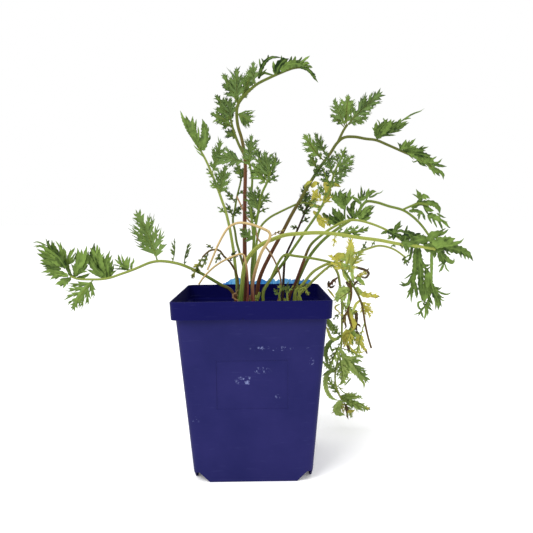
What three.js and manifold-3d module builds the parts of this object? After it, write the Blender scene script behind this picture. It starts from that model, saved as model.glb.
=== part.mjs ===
// A potted tanacetum: feathery green leaves on long stalks, out of flower, in a square nursery pot.
// Millimetres, +Z up. The origin is on the ground under the middle of the pot, whose front faces -Y.
import * as THREE from "three";
import { mergeVertices } from "three/addons/utils/BufferGeometryUtils.js";
import Module from "manifold-3d";

const wasm = await Module();
wasm.setup();

// Pot
const RIM_WIDTH = 108;
const POT_HEIGHT = 127;
const BAND_HEIGHT = 12.3;
const BAND_TAPER = 0.6;
const WALL = 1.35;
const FOOT_HALF = 40.8;
const BODY_SLOPE = 0.0853;
const FLOOR_TOP = 8.4;
const FLOOR_UNDERSIDE = 7;
const SKIRT_WALL = 1.6;
const CORNER_RADIUS = 5;
const CORNER_STEPS = 4;
const FOOT_FLAT_HALF = 30;
const DRAIN_RADIUS = 4.5;
const DRAIN_OFFSET = 26;
const LABEL_WIDTH = 48;
const LABEL_HEIGHT = 34;
const LABEL_MIDDLE_Z = 69.5;
const LABEL_DEPTH = 0.35;
const LABEL_CUTTER = 4;
const NOTCH_X = -5.4;
const NOTCH_SIZE = 1.3;
const NOTCH_INSET = 0.4;
const LEDGE_SLOPE = 0.4;

// Torn strip of tape on the outside of the back rim: its top edge as [x, z], left to right
const TAPE_THICKNESS = 0.6;
const TAPE_GAP = 0.35;
const TAPE_BOTTOM = 118;
const TAPE_EDGE = [
  [-25, 127.5], [-19, 130], [-14, 133], [-10, 131], [-2, 129.5], [3.5, 129.5], [7.5, 131.5],
  [11, 129.8], [15, 132.2], [18.5, 129.6], [23, 131], [34, 130.2], [48, 130],
];

// Soil and the stalks that stand in it
const SOIL_TOP = 108.5;
const SOIL_GAP = 0.35;
// Lumps of its top: height, two pairs of turns per millimetre, two shifts and the share of the small lumps
const SOIL_LUMP = 1.1;
const LUMP_TURNS = [0.31, 0.27];
const SMALL_LUMP_TURNS = [0.9, 0.8];
const LUMP_SHIFTS = [1, 2];
const SMALL_LUMP_SHARE = 0.5;
const SOIL_EDGE_DROP = 1;
const SOIL_RINGS = [0.93, 0.75, 0.57, 0.38, 0.2];
const STALK_DEPTH = 9;
const STALK_UPRIGHT = 2;
const HOLE_CLEARANCE = 0.35;
const STALK_SIDES = 5;
const HOLE_SIDES = 6;
const HOLE_HEAD = 6;
const FOOT_STEPS = 2;
const STEPS_PER_POINT = 0.8;
const BRANCH_STEPS_PER_POINT = 1.7;

// Leaflets
const BLADE_THICKNESS = 0.8;
const PETIOLULE_SHARE = 0.24;
const PETIOLULE_HALF = 0.6;
const LOBE_ANGLE = 50;
const LOBE_STEP = 0.45;
const RIGHT_SIDE_START = 0.35;
const BARE_END = 0.9;
const NOTCH_SHARE = 0.2;
const ROOT_SINK = 1;
const BLADE_ARCH = 0.07;
const BLADE_FOLD = 0.22;
const MORE_LOBES_FROM = [20, 31, 40];
// Outline of a leaflet: height, and the offset and power of its rise from the foot and of its fall to the tip
const OUTLINE_HEIGHT = 2.05;
const OUTLINE_RISE = [0.1, 0.6];
const OUTLINE_FALL = [1.08, 0.8];

// The plant was measured from one point of view. A seen place is [x, z, depth]: x and z are where the eye
// sees it on the upright plane through the middle of the pot, and depth is how far behind that plane it lies.
const EYE = new THREE.Vector3(6.6, -444.2, 179.7);

const LEAF_GREEN = 0x5f8a45;
const DARK_GREEN = 0x45683a;
const YELLOW_GREEN = 0x9aa04a;
const STRAW = 0xd0b383;
const DRY_BROWN = 0x8a6248;

// Each frond: foot is where its stalk enters the soil, [x, y]; radii are those of the stalk at its foot and
// its tip; route is the stalk in seen places; a leaflet is [place along the stalk 0-1, seen x and z of its
// tip, depth of the tip behind its root, width, turn in degrees about its rib]. A branch is a second stalk.
const FRONDS = {
  frond_left_arch: {
    foot: [-10, -4],
    radii: [1.5, 0.8],
    route: [
      [-15, 127.5, -5], [-24, 133, -6], [-35.5, 140, -7], [-45.5, 145, -8], [-54.5, 148.5, -9],
      [-67.5, 150.5, -10], [-75, 149.5, -11], [-82.5, 146.5, -12], [-90, 143.5, -13],
      [-97.5, 141, -13], [-105, 138.5, -14], [-112, 137.5, -14], [-119.5, 137.5, -15],
      [-128.5, 138, -15], [-134, 140, -16],
    ],
    leaflets: [
      [0.58, -84.5, 186.5, -4, 23, 0], [0.51, -57, 166.5, 6, 9, 70], [0.45, -45.5, 163, -6, 9, 65],
      [0.7, -100.5, 155.5, 6, 11, 30], [0.83, -116, 163.5, -5, 17.5, 10],
      [0.97, -125.5, 161.5, 6, 13.5, 0], [0.78, -109.5, 152.5, 5, 9.5, 10],
      [0.89, -133, 115, -6, 20, 0], [0.99, -145.5, 133.5, 5, 9, 30],
      [0.99, -143.5, 165.5, 4, 10.5, 10], [0.99, -130, 160.5, -5, 6.5, 30],
      [1, -157.5, 164.5, -4, 18.5, 0], [1, -154.5, 142, -8, 12, 20],
    ],
  },
  frond_upright_left: {
    foot: [-11, 5],
    radii: [1.5, 0.8],
    route: [
      [-11, 132, 6], [-12, 143, 7], [-13, 154.5, 10], [-14.5, 165.5, 14], [-16.5, 177, 20],
      [-19, 187.5, 26], [-21.5, 195, 31], [-25.5, 206.5, 38], [-32, 222.5, 48], [-36.5, 231, 55],
      [-42.5, 240.5, 61], [-46, 247.5, 64], [-49.5, 255, 66],
    ],
    leaflets: [
      [0.85, -45.5, 257, 3, 11, 0], [0.81, -32, 253, -6, 10.5, 30], [0.75, -42, 233.5, 5, 7.5, 60],
      [0.68, -22, 238, -4, 14, 10], [0.57, -18, 220, -5, 15.5, 0], [0.64, -32, 218, 5, 5, 30],
    ],
  },
  frond_dark_back: {
    foot: [-5, 12],
    radii: [1.3, 0.8],
    route: [
      [-5.5, 132, 13], [-6, 144.5, 15], [-8.5, 154.5, 19], [-11, 164, 24], [-12, 171.5, 28],
      [-13.5, 180, 33], [-12, 187.5, 38], [-10.5, 196, 43], [-8, 205.5, 49], [-7, 210.5, 52],
    ],
    leaflets: [
      [0.99, -10.5, 221.5, 2, 9.5, 10], [0.81, -19, 202, 5, 6.5, 20], [0.7, -18.5, 192.5, 4, 6.5, 30],
      [0.71, -6.5, 191.5, -5, 6.5, 20], [0.97, -3.5, 218, -4, 6, 40],
    ],
  },
  frond_tall: {
    foot: [-5, -8],
    radii: [1.9, 0.8],
    route: [
      [-5, 135.5, -9], [-5, 165.5, -9], [-4.5, 194.5, -8], [-4, 223.5, -6], [-6, 238, -5],
      [-9, 249, -4], [-9.5, 259.5, -4], [-8, 264.5, -4], [-2, 271.5, -6], [5, 277.5, -9],
      [13, 281.5, -12], [23.5, 286, -15], [32.5, 289, -18], [39, 289, -20], [43.5, 286.5, -21],
    ],
    leaflets: [
      [0.73, -19, 284.5, 4, 12, 0], [0.73, -9, 289, -3, 14, 0], [0.74, 0.5, 287.5, 3, 12, 10],
      [0.69, 0.5, 247, -5, 12.5, 0], [0.54, -25, 226.5, 5, 12.5, 0], [0.81, 3, 293.5, -5, 9.5, 0],
      [0.82, 10.5, 290.5, 4, 9, 10], [0.83, 17.5, 285.5, -4, 6.5, 20], [0.88, 9, 297, 5, 9, 20],
      [0.9, 22.5, 297.5, 4, 10.5, 10],
    ],
    branch: {
      at: 0.56,
      radii: [1.2, 0.8],
      route: [
        [-8.5, 235, -1], [-12, 244.5, 1], [-14, 252.5, 3],
      ],
      leaflets: [
        [0.94, -24.5, 269.5, 4, 12.5, 0], [0.97, -15, 268, -3, 11, 0], [0.89, -28.5, 257, 4, 10.5, 10],
      ],
    },
  },
  frond_centre: {
    foot: [1, -9],
    radii: [1.6, 0.8],
    route: [
      [0, 132, -11], [0, 143, -12], [1, 154, -13], [2.5, 172.5, -15], [4, 180, -17], [5.5, 187, -20],
      [8, 199, -24], [12, 207.5, -27], [14.5, 215, -30],
    ],
    leaflets: [
      [0.95, 10, 230, -3, 14, 0], [0.92, 1, 221.5, 4, 12, 0], [1, 18.5, 229, 4, 8, 40],
      [0.93, 4, 230.5, 5, 9, 10], [0.74, -1.5, 204, -4, 13.5, 0], [0.67, -2.5, 190, 4, 8, 20],
      [0.56, -8.5, 174, -5, 11, 0], [0.79, 4.5, 204.5, 3, 6.5, 40], [0.79, 13, 199.5, -5, 6.5, 20],
    ],
    branch: {
      at: 0.56,
      radii: [1.1, 0.8],
      route: [
        [0, 186, -17], [0.5, 200.5, -18], [1, 210.5, -19], [-1, 222, -20],
      ],
      leaflets: [
        [0.98, 1, 241.5, -4, 12.5, 0], [0.9, -5, 229.5, 4, 6.5, 30], [0.77, 7, 219, -4, 6.5, 20],
      ],
    },
  },
  frond_slanted: {
    foot: [-1, 8],
    radii: [1.3, 0.8],
    route: [
      [0.5, 132, 9], [2.5, 149, 10], [4, 165, 12], [7, 175, 14], [13.5, 181.5, 17], [21, 185.5, 19],
      [28.5, 189, 21], [34.5, 191.5, 22], [41, 192, 22], [47.5, 189.5, 22],
    ],
    leaflets: [
      [0.94, 51, 197.5, -3, 6.5, 10], [0.98, 52, 170.5, 4, 7.5, 10],
    ],
  },
  frond_upper_right: {
    foot: [3, 11],
    radii: [1.6, 0.8],
    route: [
      [4.5, 132, 11], [7.5, 141.5, 11], [15, 156.5, 12], [22.5, 170, 13], [30, 184, 15],
      [36.5, 195, 17], [43, 206, 19], [50.5, 217.5, 21], [58, 227.5, 23], [63, 235, 25], [68, 239, 26],
      [75.5, 239.5, 27], [84, 238, 28], [91.5, 237, 29], [100, 233.5, 31], [109, 229.5, 33],
      [121, 224, 35], [132, 217.5, 37],
    ],
    leaflets: [
      [0.79, 111, 253.5, -4, 14.5, 0], [0.8, 126.5, 259, 5, 1.5, 20], [0.87, 120.5, 237.5, -5, 9, 0],
      [0.88, 130, 232, 5, 8, 0], [0.93, 132.5, 224.5, -4, 6.5, 20], [0.96, 143.5, 218, 4, 9.5, 0],
      [0.99, 143, 208, -4, 8, 0], [0.93, 129.5, 216, -5, 7.5, 10], [0.79, 95, 249.5, 5, 8, 20],
      [0.58, 39.5, 242, 5, 12, 0], [0.6, 47.5, 242.5, -5, 9, 20], [0.54, 42, 227, 5, 9, 20],
      [0.5, 53, 221, -6, 7.5, 20],
    ],
    branch: {
      at: 0.66,
      radii: [1.1, 0.8],
      route: [
        [68, 244.5, 25], [70.5, 248, 25],
      ],
      leaflets: [
        [0.93, 95, 270.5, -4, 14.5, 0], [0.92, 71.5, 269.5, 4, 17, 0], [0.87, 61, 266, -4, 12, 0],
        [0.8, 58, 255.5, 5, 6, 20], [1, 85.5, 253, 5, 7.5, 20],
      ],
    },
  },
  frond_right_inner: {
    foot: [9, 5],
    radii: [1.5, 0.8],
    route: [
      [8, 126.5, 4], [13.5, 135.5, 3], [20.5, 144.5, 3], [26.5, 152.5, 2], [33.5, 162.5, 2],
      [39.5, 171, 2], [44.5, 178, 3], [50.5, 187, 4], [54, 194, 5], [58.5, 204, 7], [60, 210, 8],
      [63, 218, 9], [66.5, 225, 10],
    ],
    leaflets: [
      [0.83, 52, 218, 4, 9.5, 10], [0.89, 55, 229.5, -4, 9.5, 10], [0.94, 75.5, 226.5, -4, 9.5, 10],
      [0.88, 75.5, 222, 5, 9.5, 20], [0.84, 69.5, 212, -4, 7.5, 20], [0.75, 44.5, 201.5, -4, 6.5, 20],
      [0.78, 48.5, 207, -5, 6.5, 30], [0.66, 57, 175, -5, 7.5, 20], [0.95, 61, 230, 5, 6.5, 40],
    ],
  },
  frond_right_arch: {
    foot: [31, 9],
    radii: [1.4, 0.8],
    route: [
      [33, 131.5, 10], [37.5, 142.5, 11], [42, 151.5, 12], [47.5, 159, 13], [55.5, 167, 14],
      [63, 172.5, 15], [70.5, 177.5, 17], [77, 182, 18], [80.5, 188, 19], [84.5, 192.5, 20],
      [91.5, 192, 21], [101, 189, 23], [111.5, 186, 25], [119, 181, 27], [125.5, 174.5, 28],
      [131, 167, 30],
    ],
    leaflets: [
      [0.52, 67.5, 201, 5, 16, 0], [0.52, 74.5, 202, -4, 9.5, 20], [0.5, 58.5, 189, -5, 10.5, 0],
      [0.5, 61, 201.5, 5, 9.5, 10], [0.6, 91, 188.5, -5, 11, 0], [0.62, 80.5, 204.5, 4, 6.5, 20],
      [0.64, 88, 202.5, -4, 8, 10], [0.66, 97.5, 200, 4, 6.5, 10], [0.62, 74, 198, 6, 8, 20],
      [0.99, 145.5, 172.5, -4, 7.5, 10],
    ],
    branch: {
      at: 0.83,
      radii: [0.9, 0.8],
      route: [
        [117.5, 189, 24], [123.5, 191, 23], [130, 189.5, 22],
      ],
      leaflets: [
        [0.66, 121, 201.5, -3, 6.5, 10], [0.88, 139.5, 185, 3, 10.5, 0],
        [1, 146.5, 172.5, -3, 10.5, 0], [1, 116.5, 184, 4, 6.5, 10],
      ],
    },
  },
  frond_dark_short: {
    foot: [22, 9],
    radii: [1.3, 0.8],
    route: [
      [23, 128, 12], [23.5, 139, 15], [25, 152.5, 19], [30.5, 165, 23], [35.5, 176, 27],
      [38.5, 183, 29], [41, 190, 31],
    ],
    leaflets: [
      [0.98, 39, 205, -3, 9.5, 10], [0.94, 45.5, 195.5, 4, 6.5, 20], [0.92, 34.5, 193, 4, 6, 30],
    ],
  },
  frond_brown_arch: {
    foot: [25, -3],
    radii: [1.4, 0.8],
    route: [
      [28.5, 125.5, -3], [32.5, 134, -3], [38, 148.5, -3], [43.5, 161, -5], [50.5, 167.5, -7],
      [60, 174, -11], [69.5, 178.5, -16], [77.5, 179, -20], [87.5, 176.5, -26], [97.5, 172.5, -32],
      [104.5, 168.5, -35], [111, 163.5, -37],
    ],
    leaflets: [
      [0.93, 110, 179, 4, 6, 10], [0.96, 120, 169, -4, 10.5, 0], [0.99, 129.5, 167, 3, 7.5, 10],
      [1, 116, 153.5, -3, 9, 0], [0.99, 123, 162, 4, 6.5, 20],
    ],
  },
  frond_long_right: {
    foot: [-9, -15],
    radii: [1.8, 0.8],
    route: [
      [-7.5, 130, -15], [-6.5, 139.5, -15], [-4.5, 148.5, -16], [0, 155.5, -18], [7.5, 162, -20],
      [14.5, 165, -22], [24.5, 168.5, -26], [35.5, 169.5, -30], [50.5, 170, -36], [65, 168.5, -43],
      [80, 166, -49], [94.5, 164, -55], [109.5, 161, -60], [124.5, 159, -65], [136, 157, -68],
    ],
    leaflets: [
      [1, 157.5, 165, 4, 12, 0], [1, 164.5, 149.5, -3, 10.5, 0], [1, 150.5, 148, 5, 7.5, 20],
      [0.99, 141.5, 139.5, -5, 10.5, 0], [0.92, 118, 116.5, 4, 12.5, 0],
      [0.94, 128, 104.5, -4, 15.5, 0], [0.98, 145.5, 126, 4, 8, 10], [0.98, 137.5, 114, -3, 9, 10],
      [0.96, 145.5, 172, -5, 9, 10], [0.92, 110.5, 130, 6, 8, 20], [0.62, 86, 172.5, -4, 9, 0],
      [0.94, 132.5, 143, 6, 6.5, 30],
    ],
  },
  frond_low_right: {
    foot: [35, 3],
    radii: [1.3, 0.8],
    route: [
      [34.5, 123.5, 4], [39, 128.5, 6], [46.5, 136, 10], [55, 143.5, 16], [65, 150.5, 22],
      [73.5, 153.5, 27], [87.5, 158.5, 34], [94.5, 160, 38], [104.5, 157.5, 41], [114, 151, 44],
    ],
    leaflets: [
      [0.98, 115.5, 145, -4, 6, 0], [0.67, 84.5, 163.5, -4, 4.5, 0], [0.74, 91.5, 164.5, 5, 3.5, 20],
      [0.88, 107.5, 162, 4, 3.5, 30],
    ],
  },
  frond_hanging_green: {
    foot: [32, -6],
    radii: [1.3, 0.8],
    route: [
      [32.5, 127, -6], [37, 131.5, -6], [44.5, 140.5, -5], [49.5, 144, -3], [57.5, 147, 0],
      [63, 141, 6], [65, 131.5, 12], [66.5, 118, 20], [66.5, 101.5, 30], [66, 86, 38], [63.5, 75, 45],
      [61.5, 65.5, 51], [62, 55, 60], [66, 45, 68],
    ],
    leaflets: [
      [0.48, 72.5, 111, -4, 6.5, 10], [0.66, 54.5, 105, 4, 9.5, 0], [0.67, 57.5, 69.5, -4, 9.5, 0],
      [0.71, 82.5, 76, -4, 6.5, 10], [0.72, 86, 58.5, 4, 12.5, 0], [0.73, 69, 56.5, -3, 13.5, 0],
      [0.82, 51, 73.5, 4, 8, 10], [0.99, 54.5, 63, 3, 9, 0], [0.98, 81.5, 46.5, -4, 8, 0],
      [0.99, 87.5, 36.5, 2, 9.5, 0], [1, 62, 33, 3, 12.5, 0], [1, 74, 30.5, 1, 8, 10],
    ],
  },
  frond_hanging_yellow: {
    foot: [9, -6],
    radii: [1.2, 0.8],
    route: [
      [8.5, 126.5, -8], [13.5, 135.5, -10], [21, 150.5, -13], [24.5, 154, -15], [32.5, 153, -17],
      [43, 151.5, -18], [55, 149, -18], [61.5, 147, -18], [67.5, 142.5, -18], [75.5, 129.5, -17],
      [81, 117.5, -15], [84, 101, -13], [86, 92, -12], [88.5, 83.5, -12],
    ],
    leaflets: [
      [0.64, 58.5, 153, -3, 8, 20], [0.64, 72.5, 165.5, 3, 9, 10], [0.65, 82, 157, -4, 11, 10],
      [0.68, 86.5, 140.5, 4, 7.5, 30], [0.73, 94, 122.5, -3, 5, 10], [0.78, 88, 107, 4, 9.5, 10],
      [0.88, 78, 79, -4, 6, 20],
    ],
    branch: {
      at: 0.68,
      radii: [1, 0.8],
      route: [
        [73.5, 123.5, -15], [71, 111.5, -14], [74, 99, -13],
      ],
      leaflets: [
        [0.23, 61.5, 118, -3, 9, 0], [0.52, 78.5, 106.5, 4, 7.5, 10], [0.59, 66.5, 102, -4, 6.5, 10],
        [1, 67.5, 84.5, -3, 9, 0], [1, 84.5, 82, 4, 7.5, 10], [0.98, 74, 85.5, 3, 6.5, 20],
      ],
    },
  },
  frond_curled: {
    foot: [-15, -1],
    radii: [1.1, 0.7],
    route: [
      [-10.5, 130, -1], [-11, 139, -1], [-16, 149, -3], [-20.5, 153.5, -5], [-24, 158, -7],
      [-30.5, 158, -9], [-36.5, 153, -11],
    ],
    leaflets: [
      [0.92, -37, 145, 4, 5, 20], [0.99, -44.5, 137.5, -3, 6, 10],
    ],
  },
  dry_stalk_arched: {
    foot: [2, -22],
    radii: [1.1, 0.7],
    route: [
      [0.5, 132, -24], [4, 147, -27], [7.5, 156.5, -29], [13.5, 166.5, -31], [13.5, 170.5, -31],
      [7.5, 174, -31], [-3, 177.5, -31], [-10, 178, -30], [-16.5, 175, -30], [-24, 163.5, -29],
      [-30, 150, -28], [-33, 143.5, -28],
    ],
    leaflets: [
      [0.52, 24.5, 172.5, -2, 3, 20],
    ],
  },
  dry_stalk_bent: {
    foot: [-4, -24],
    radii: [0.9, 0.7],
    route: [
      [-3, 132, -25], [-4.5, 149, -26], [-6.5, 155, -25], [-16, 152.5, -24], [-27, 146.5, -21],
      [-35.5, 138.5, -18], [-39.5, 133, -16],
    ],
    leaflets: [
    ],
  },
  dry_stalk_thin: {
    foot: [17, 0],
    radii: [0.8, 0.65],
    route: [
      [21.5, 131.5, -1], [18.5, 146, -2], [12, 158, -2], [4.5, 166.5, -2], [2.5, 175.5, -1],
      [-2.5, 180.5, 0], [-5.5, 186.5, 1], [-10.5, 197.5, 2],
    ],
    leaflets: [
    ],
  },
  young_leaf_fork: {
    foot: [27, -13],
    radii: [1, 0.8],
    route: [
      [26, 122.5, -14], [26, 126.5, -14],
    ],
    leaflets: [
      [0.95, 23, 131.5, -2, 3.5, 10], [0.95, 30.5, 131, 2, 3.5, 10], [0.97, 26.5, 134, -1, 3.5, 30],
    ],
  },
  young_leaf_curved: {
    foot: [39, -12],
    radii: [1, 0.8],
    route: [
      [36, 121, -13], [34.5, 126.5, -13], [37.5, 129.5, -13], [40, 128, -13],
    ],
    leaflets: [
      [0.85, 33, 132.5, -2, 3.5, 10], [0.94, 42, 132.5, 2, 3.5, 20], [1, 42, 124, -2, 3.5, 10],
    ],
  },
  young_leaf_curly: {
    foot: [19, -10],
    radii: [1, 0.8],
    route: [
      [20.5, 120.5, -10], [20, 125, -10], [22, 128.5, -10],
    ],
    leaflets: [
      [0.85, 16, 129, -2, 4.5, 10], [0.95, 20, 133, 2, 4.5, 20], [1, 26.5, 130, -2, 4.5, 10],
    ],
  },
  dry_curl: {
    foot: [-15, -12],
    radii: [0.9, 0.7],
    route: [
      [-10.5, 121, -12], [-13.5, 121.5, -12], [-14.5, 124.5, -12], [-12.5, 126, -11], [-11, 124, -10],
    ],
    leaflets: [
      [0.92, -10, 129, 3, 3, 20],
    ],
  },
};

const COLOURS = {
  frond_dark_back: DARK_GREEN,
  frond_dark_short: DARK_GREEN,
  frond_hanging_yellow: YELLOW_GREEN,
  dry_stalk_arched: STRAW,
  dry_stalk_bent: STRAW,
  dry_stalk_thin: DRY_BROWN,
  dry_curl: DRY_BROWN,
};

// Woody crowns: the middle [x, y], the radius and the height of the top above the ground
const CROWNS = {
  crown_main: { middle: [-0.5, 1], radius: 5, top: 124 },
  crown_side: { middle: [27.5, 2.5], radius: 2.6, top: 119 },
};
const CROWN_SIDES = 8;
const CROWN_KNOBS = 0.12;
const CROWN_KNOB_COUNT = 3;
const CROWN_KNOB_TWIST = 5;
// Its rings from the foot up: share of the height and share of the radius
const CROWN_RINGS = [[0, 0.8], [0.45, 1], [0.75, 0.85], [1, 0.45]];

// Solids

function solidOf(geometry) {
  geometry.deleteAttribute("normal");
  geometry.deleteAttribute("uv");
  const merged = mergeVertices(geometry, 1e-5);
  return new wasm.Manifold(
    new wasm.Mesh({
      numProp: 3,
      vertProperties: merged.getAttribute("position").array,
      triVerts: new Uint32Array(merged.index.array),
    }),
  );
}

function meshOf(name, solid, material) {
  const made = solid.getMesh();
  const geometry = new THREE.BufferGeometry();
  geometry.setAttribute("position", new THREE.BufferAttribute(made.vertProperties, 3));
  geometry.setIndex(new THREE.BufferAttribute(made.triVerts, 1));
  geometry.computeVertexNormals();
  const mesh = new THREE.Mesh(geometry, material);
  mesh.name = name;
  return mesh;
}

// A closed surface through rings of equally many points, with a fan over each end
function loft(rings, startMiddle, endMiddle) {
  const count = rings[0].length;
  const points = [...rings.flat(), startMiddle, endMiddle];
  const first = points.length - 2;
  const last = points.length - 1;
  const faces = [];
  for (let i = 0; i < count; i++) {
    const j = (i + 1) % count;
    for (let r = 0; r + 1 < rings.length; r++) {
      const a = r * count + i;
      const b = r * count + j;
      faces.push(a, b, b + count, a, b + count, a + count);
    }
    const top = (rings.length - 1) * count;
    faces.push(first, j, i, last, top + i, top + j);
  }
  const geometry = new THREE.BufferGeometry().setFromPoints(points);
  geometry.setIndex(faces);
  return solidOf(geometry);
}

function roundedSquare(half, radius, z) {
  const ring = [];
  for (let corner = 0; corner < 4; corner++) {
    for (let step = 0; step <= CORNER_STEPS; step++) {
      const angle = ((corner + step / CORNER_STEPS) * Math.PI) / 2;
      const cornerAngle = ((corner + 0.5) * Math.PI) / 2;
      const reach = (half - radius) * Math.SQRT2;
      ring.push(
        new THREE.Vector3(
          reach * Math.cos(cornerAngle) + radius * Math.cos(angle),
          reach * Math.sin(cornerAngle) + radius * Math.sin(angle),
          z,
        ),
      );
    }
  }
  return ring;
}

// Pot

function bodyHalf(z) {
  return FOOT_HALF + BODY_SLOPE * z;
}

function innerHalf(z) {
  return bodyHalf(z) - WALL;
}

function buildPot() {
  const rim = RIM_WIDTH / 2;
  const bandBottom = POT_HEIGHT - BAND_HEIGHT;
  const ledge = bandBottom + WALL;
  const inner = CORNER_RADIUS - WALL;
  const profile = [
    [innerHalf(FLOOR_TOP), inner, FLOOR_TOP],
    [innerHalf(bandBottom), inner, ledge - LEDGE_SLOPE],
    [rim - BAND_TAPER - WALL, inner, ledge],
    [rim - WALL, inner, POT_HEIGHT],
    [rim - BAND_TAPER, CORNER_RADIUS, POT_HEIGHT],
    [rim, CORNER_RADIUS, POT_HEIGHT - BAND_TAPER],
    [rim - BAND_TAPER, CORNER_RADIUS, bandBottom],
    [bodyHalf(bandBottom), CORNER_RADIUS, bandBottom],
    [bodyHalf(0), CORNER_RADIUS, 0],
    [bodyHalf(0) - SKIRT_WALL, inner, 0],
    [bodyHalf(FLOOR_UNDERSIDE) - SKIRT_WALL, inner, FLOOR_UNDERSIDE],
  ];
  const rings = profile.map(([half, radius, z]) => roundedSquare(half, radius, z)).reverse();
  let pot = loft(rings, new THREE.Vector3(0, 0, FLOOR_UNDERSIDE), new THREE.Vector3(0, 0, FLOOR_TOP));
  for (const [sx, sy] of [[1, 1], [-1, 1], [-1, -1], [1, -1]]) {
    pot = pot.subtract(cornerGap(sx, sy));
    pot = pot.subtract(drainHole(sx * DRAIN_OFFSET, sy * DRAIN_OFFSET));
  }
  pot = pot.subtract(drainHole(0, 0));
  pot = pot.subtract(labelRecess());
  return pot.subtract(bandNotch());
}

// The gap under each corner: the four skirts end in slopes of 45 degrees
function cornerGap(sx, sy) {
  const height = FLOOR_UNDERSIDE + 1;
  const outer = RIM_WIDTH / 2;
  const gap = new THREE.BoxGeometry(1, 1, height);
  const position = gap.getAttribute("position");
  for (let i = 0; i < position.count; i++) {
    const low = position.getZ(i) < 0;
    const z = low ? -1 : FLOOR_UNDERSIDE;
    const inner = FOOT_FLAT_HALF + z;
    const x = position.getX(i) * sx > 0 ? outer : inner;
    const y = position.getY(i) * sy > 0 ? outer : inner;
    position.setXYZ(i, x * sx, y * sy, z);
  }
  return solidOf(gap);
}

function drainHole(x, y) {
  const hole = new THREE.CylinderGeometry(DRAIN_RADIUS, DRAIN_RADIUS, FLOOR_TOP, 12);
  hole.rotateX(Math.PI / 2);
  hole.translate(x, y, FLOOR_UNDERSIDE + FLOOR_TOP / 2 - 1);
  return solidOf(hole);
}

function labelRecess() {
  const recess = new THREE.BoxGeometry(LABEL_WIDTH, LABEL_CUTTER, LABEL_HEIGHT);
  recess.translate(0, LABEL_DEPTH - LABEL_CUTTER / 2, 0);
  recess.rotateX(Math.atan(BODY_SLOPE));
  recess.translate(0, -bodyHalf(LABEL_MIDDLE_Z), LABEL_MIDDLE_Z);
  return solidOf(recess);
}

function bandNotch() {
  const notch = new THREE.CylinderGeometry(NOTCH_SIZE, NOTCH_SIZE, 2 * NOTCH_SIZE, 4);
  notch.translate(NOTCH_X, NOTCH_INSET - RIM_WIDTH / 2, POT_HEIGHT - BAND_HEIGHT);
  return solidOf(notch);
}

function buildTape() {
  const shape = new THREE.Shape([
    ...TAPE_EDGE.map(([x, z]) => new THREE.Vector2(x, z)),
    new THREE.Vector2(TAPE_EDGE.at(-1)[0], TAPE_BOTTOM),
    new THREE.Vector2(TAPE_EDGE[0][0], TAPE_BOTTOM),
  ]);
  const strip = new THREE.ExtrudeGeometry(shape, { depth: TAPE_THICKNESS, bevelEnabled: false });
  strip.rotateX(Math.PI / 2);
  strip.translate(0, RIM_WIDTH / 2 + TAPE_GAP + TAPE_THICKNESS, 0);
  return solidOf(strip);
}

// Soil and crowns

function lump(x, y) {
  const large = Math.sin(x * LUMP_TURNS[0] + LUMP_SHIFTS[0]) * Math.cos(y * LUMP_TURNS[1]);
  const small = Math.sin(x * SMALL_LUMP_TURNS[0]) * Math.sin(y * SMALL_LUMP_TURNS[1] + LUMP_SHIFTS[1]);
  return SOIL_LUMP * (large + SMALL_LUMP_SHARE * small);
}

function buildSoil(holes) {
  const bottom = FLOOR_TOP + SOIL_GAP;
  const radius = CORNER_RADIUS - WALL - SOIL_GAP;
  const rings = [
    roundedSquare(innerHalf(bottom) - SOIL_GAP, radius, bottom),
    roundedSquare(innerHalf(SOIL_TOP) - SOIL_GAP, radius, SOIL_TOP - SOIL_EDGE_DROP),
  ];
  for (const share of SOIL_RINGS) {
    const half = innerHalf(SOIL_TOP) * share;
    const ring = roundedSquare(half, half * (1 - share), SOIL_TOP);
    ring.forEach((point) => (point.z += lump(point.x, point.y)));
    rings.push(ring);
  }
  let soil = loft(rings, new THREE.Vector3(0, 0, bottom), new THREE.Vector3(0, 0, SOIL_TOP + lump(0, 0)));
  for (const hole of holes) soil = soil.subtract(hole);
  return soil;
}

// A short knot of wood that the leaf stalks crowd round; grow makes it larger all round, for its hole
function buildCrown({ middle, radius, top }, grow = 0) {
  const [x, y] = middle;
  const foot = SOIL_TOP - STALK_DEPTH - grow;
  const rings = CROWN_RINGS.map(([share, spread]) => {
    const ring = [];
    for (let i = 0; i < CROWN_SIDES; i++) {
      const angle = (i * 2 * Math.PI) / CROWN_SIDES;
      const knob = Math.sin(CROWN_KNOB_COUNT * angle + CROWN_KNOB_TWIST * share);
      const reach = radius * spread * (1 + CROWN_KNOBS * knob) + grow;
      const z = foot + (top + grow - foot) * share;
      ring.push(new THREE.Vector3(x + reach * Math.cos(angle), y + reach * Math.sin(angle), z));
    }
    return ring;
  });
  return loft(rings, new THREE.Vector3(x, y, foot), new THREE.Vector3(x, y, top + grow));
}

// Stalks and leaflets

function place([x, z, depth]) {
  const onPlane = new THREE.Vector3(x, 0, z);
  return onPlane.sub(EYE).multiplyScalar((depth - EYE.y) / -EYE.y).add(EYE);
}

function stalkCurve(points) {
  return new THREE.CatmullRomCurve3(points, false, "centripetal");
}

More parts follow.
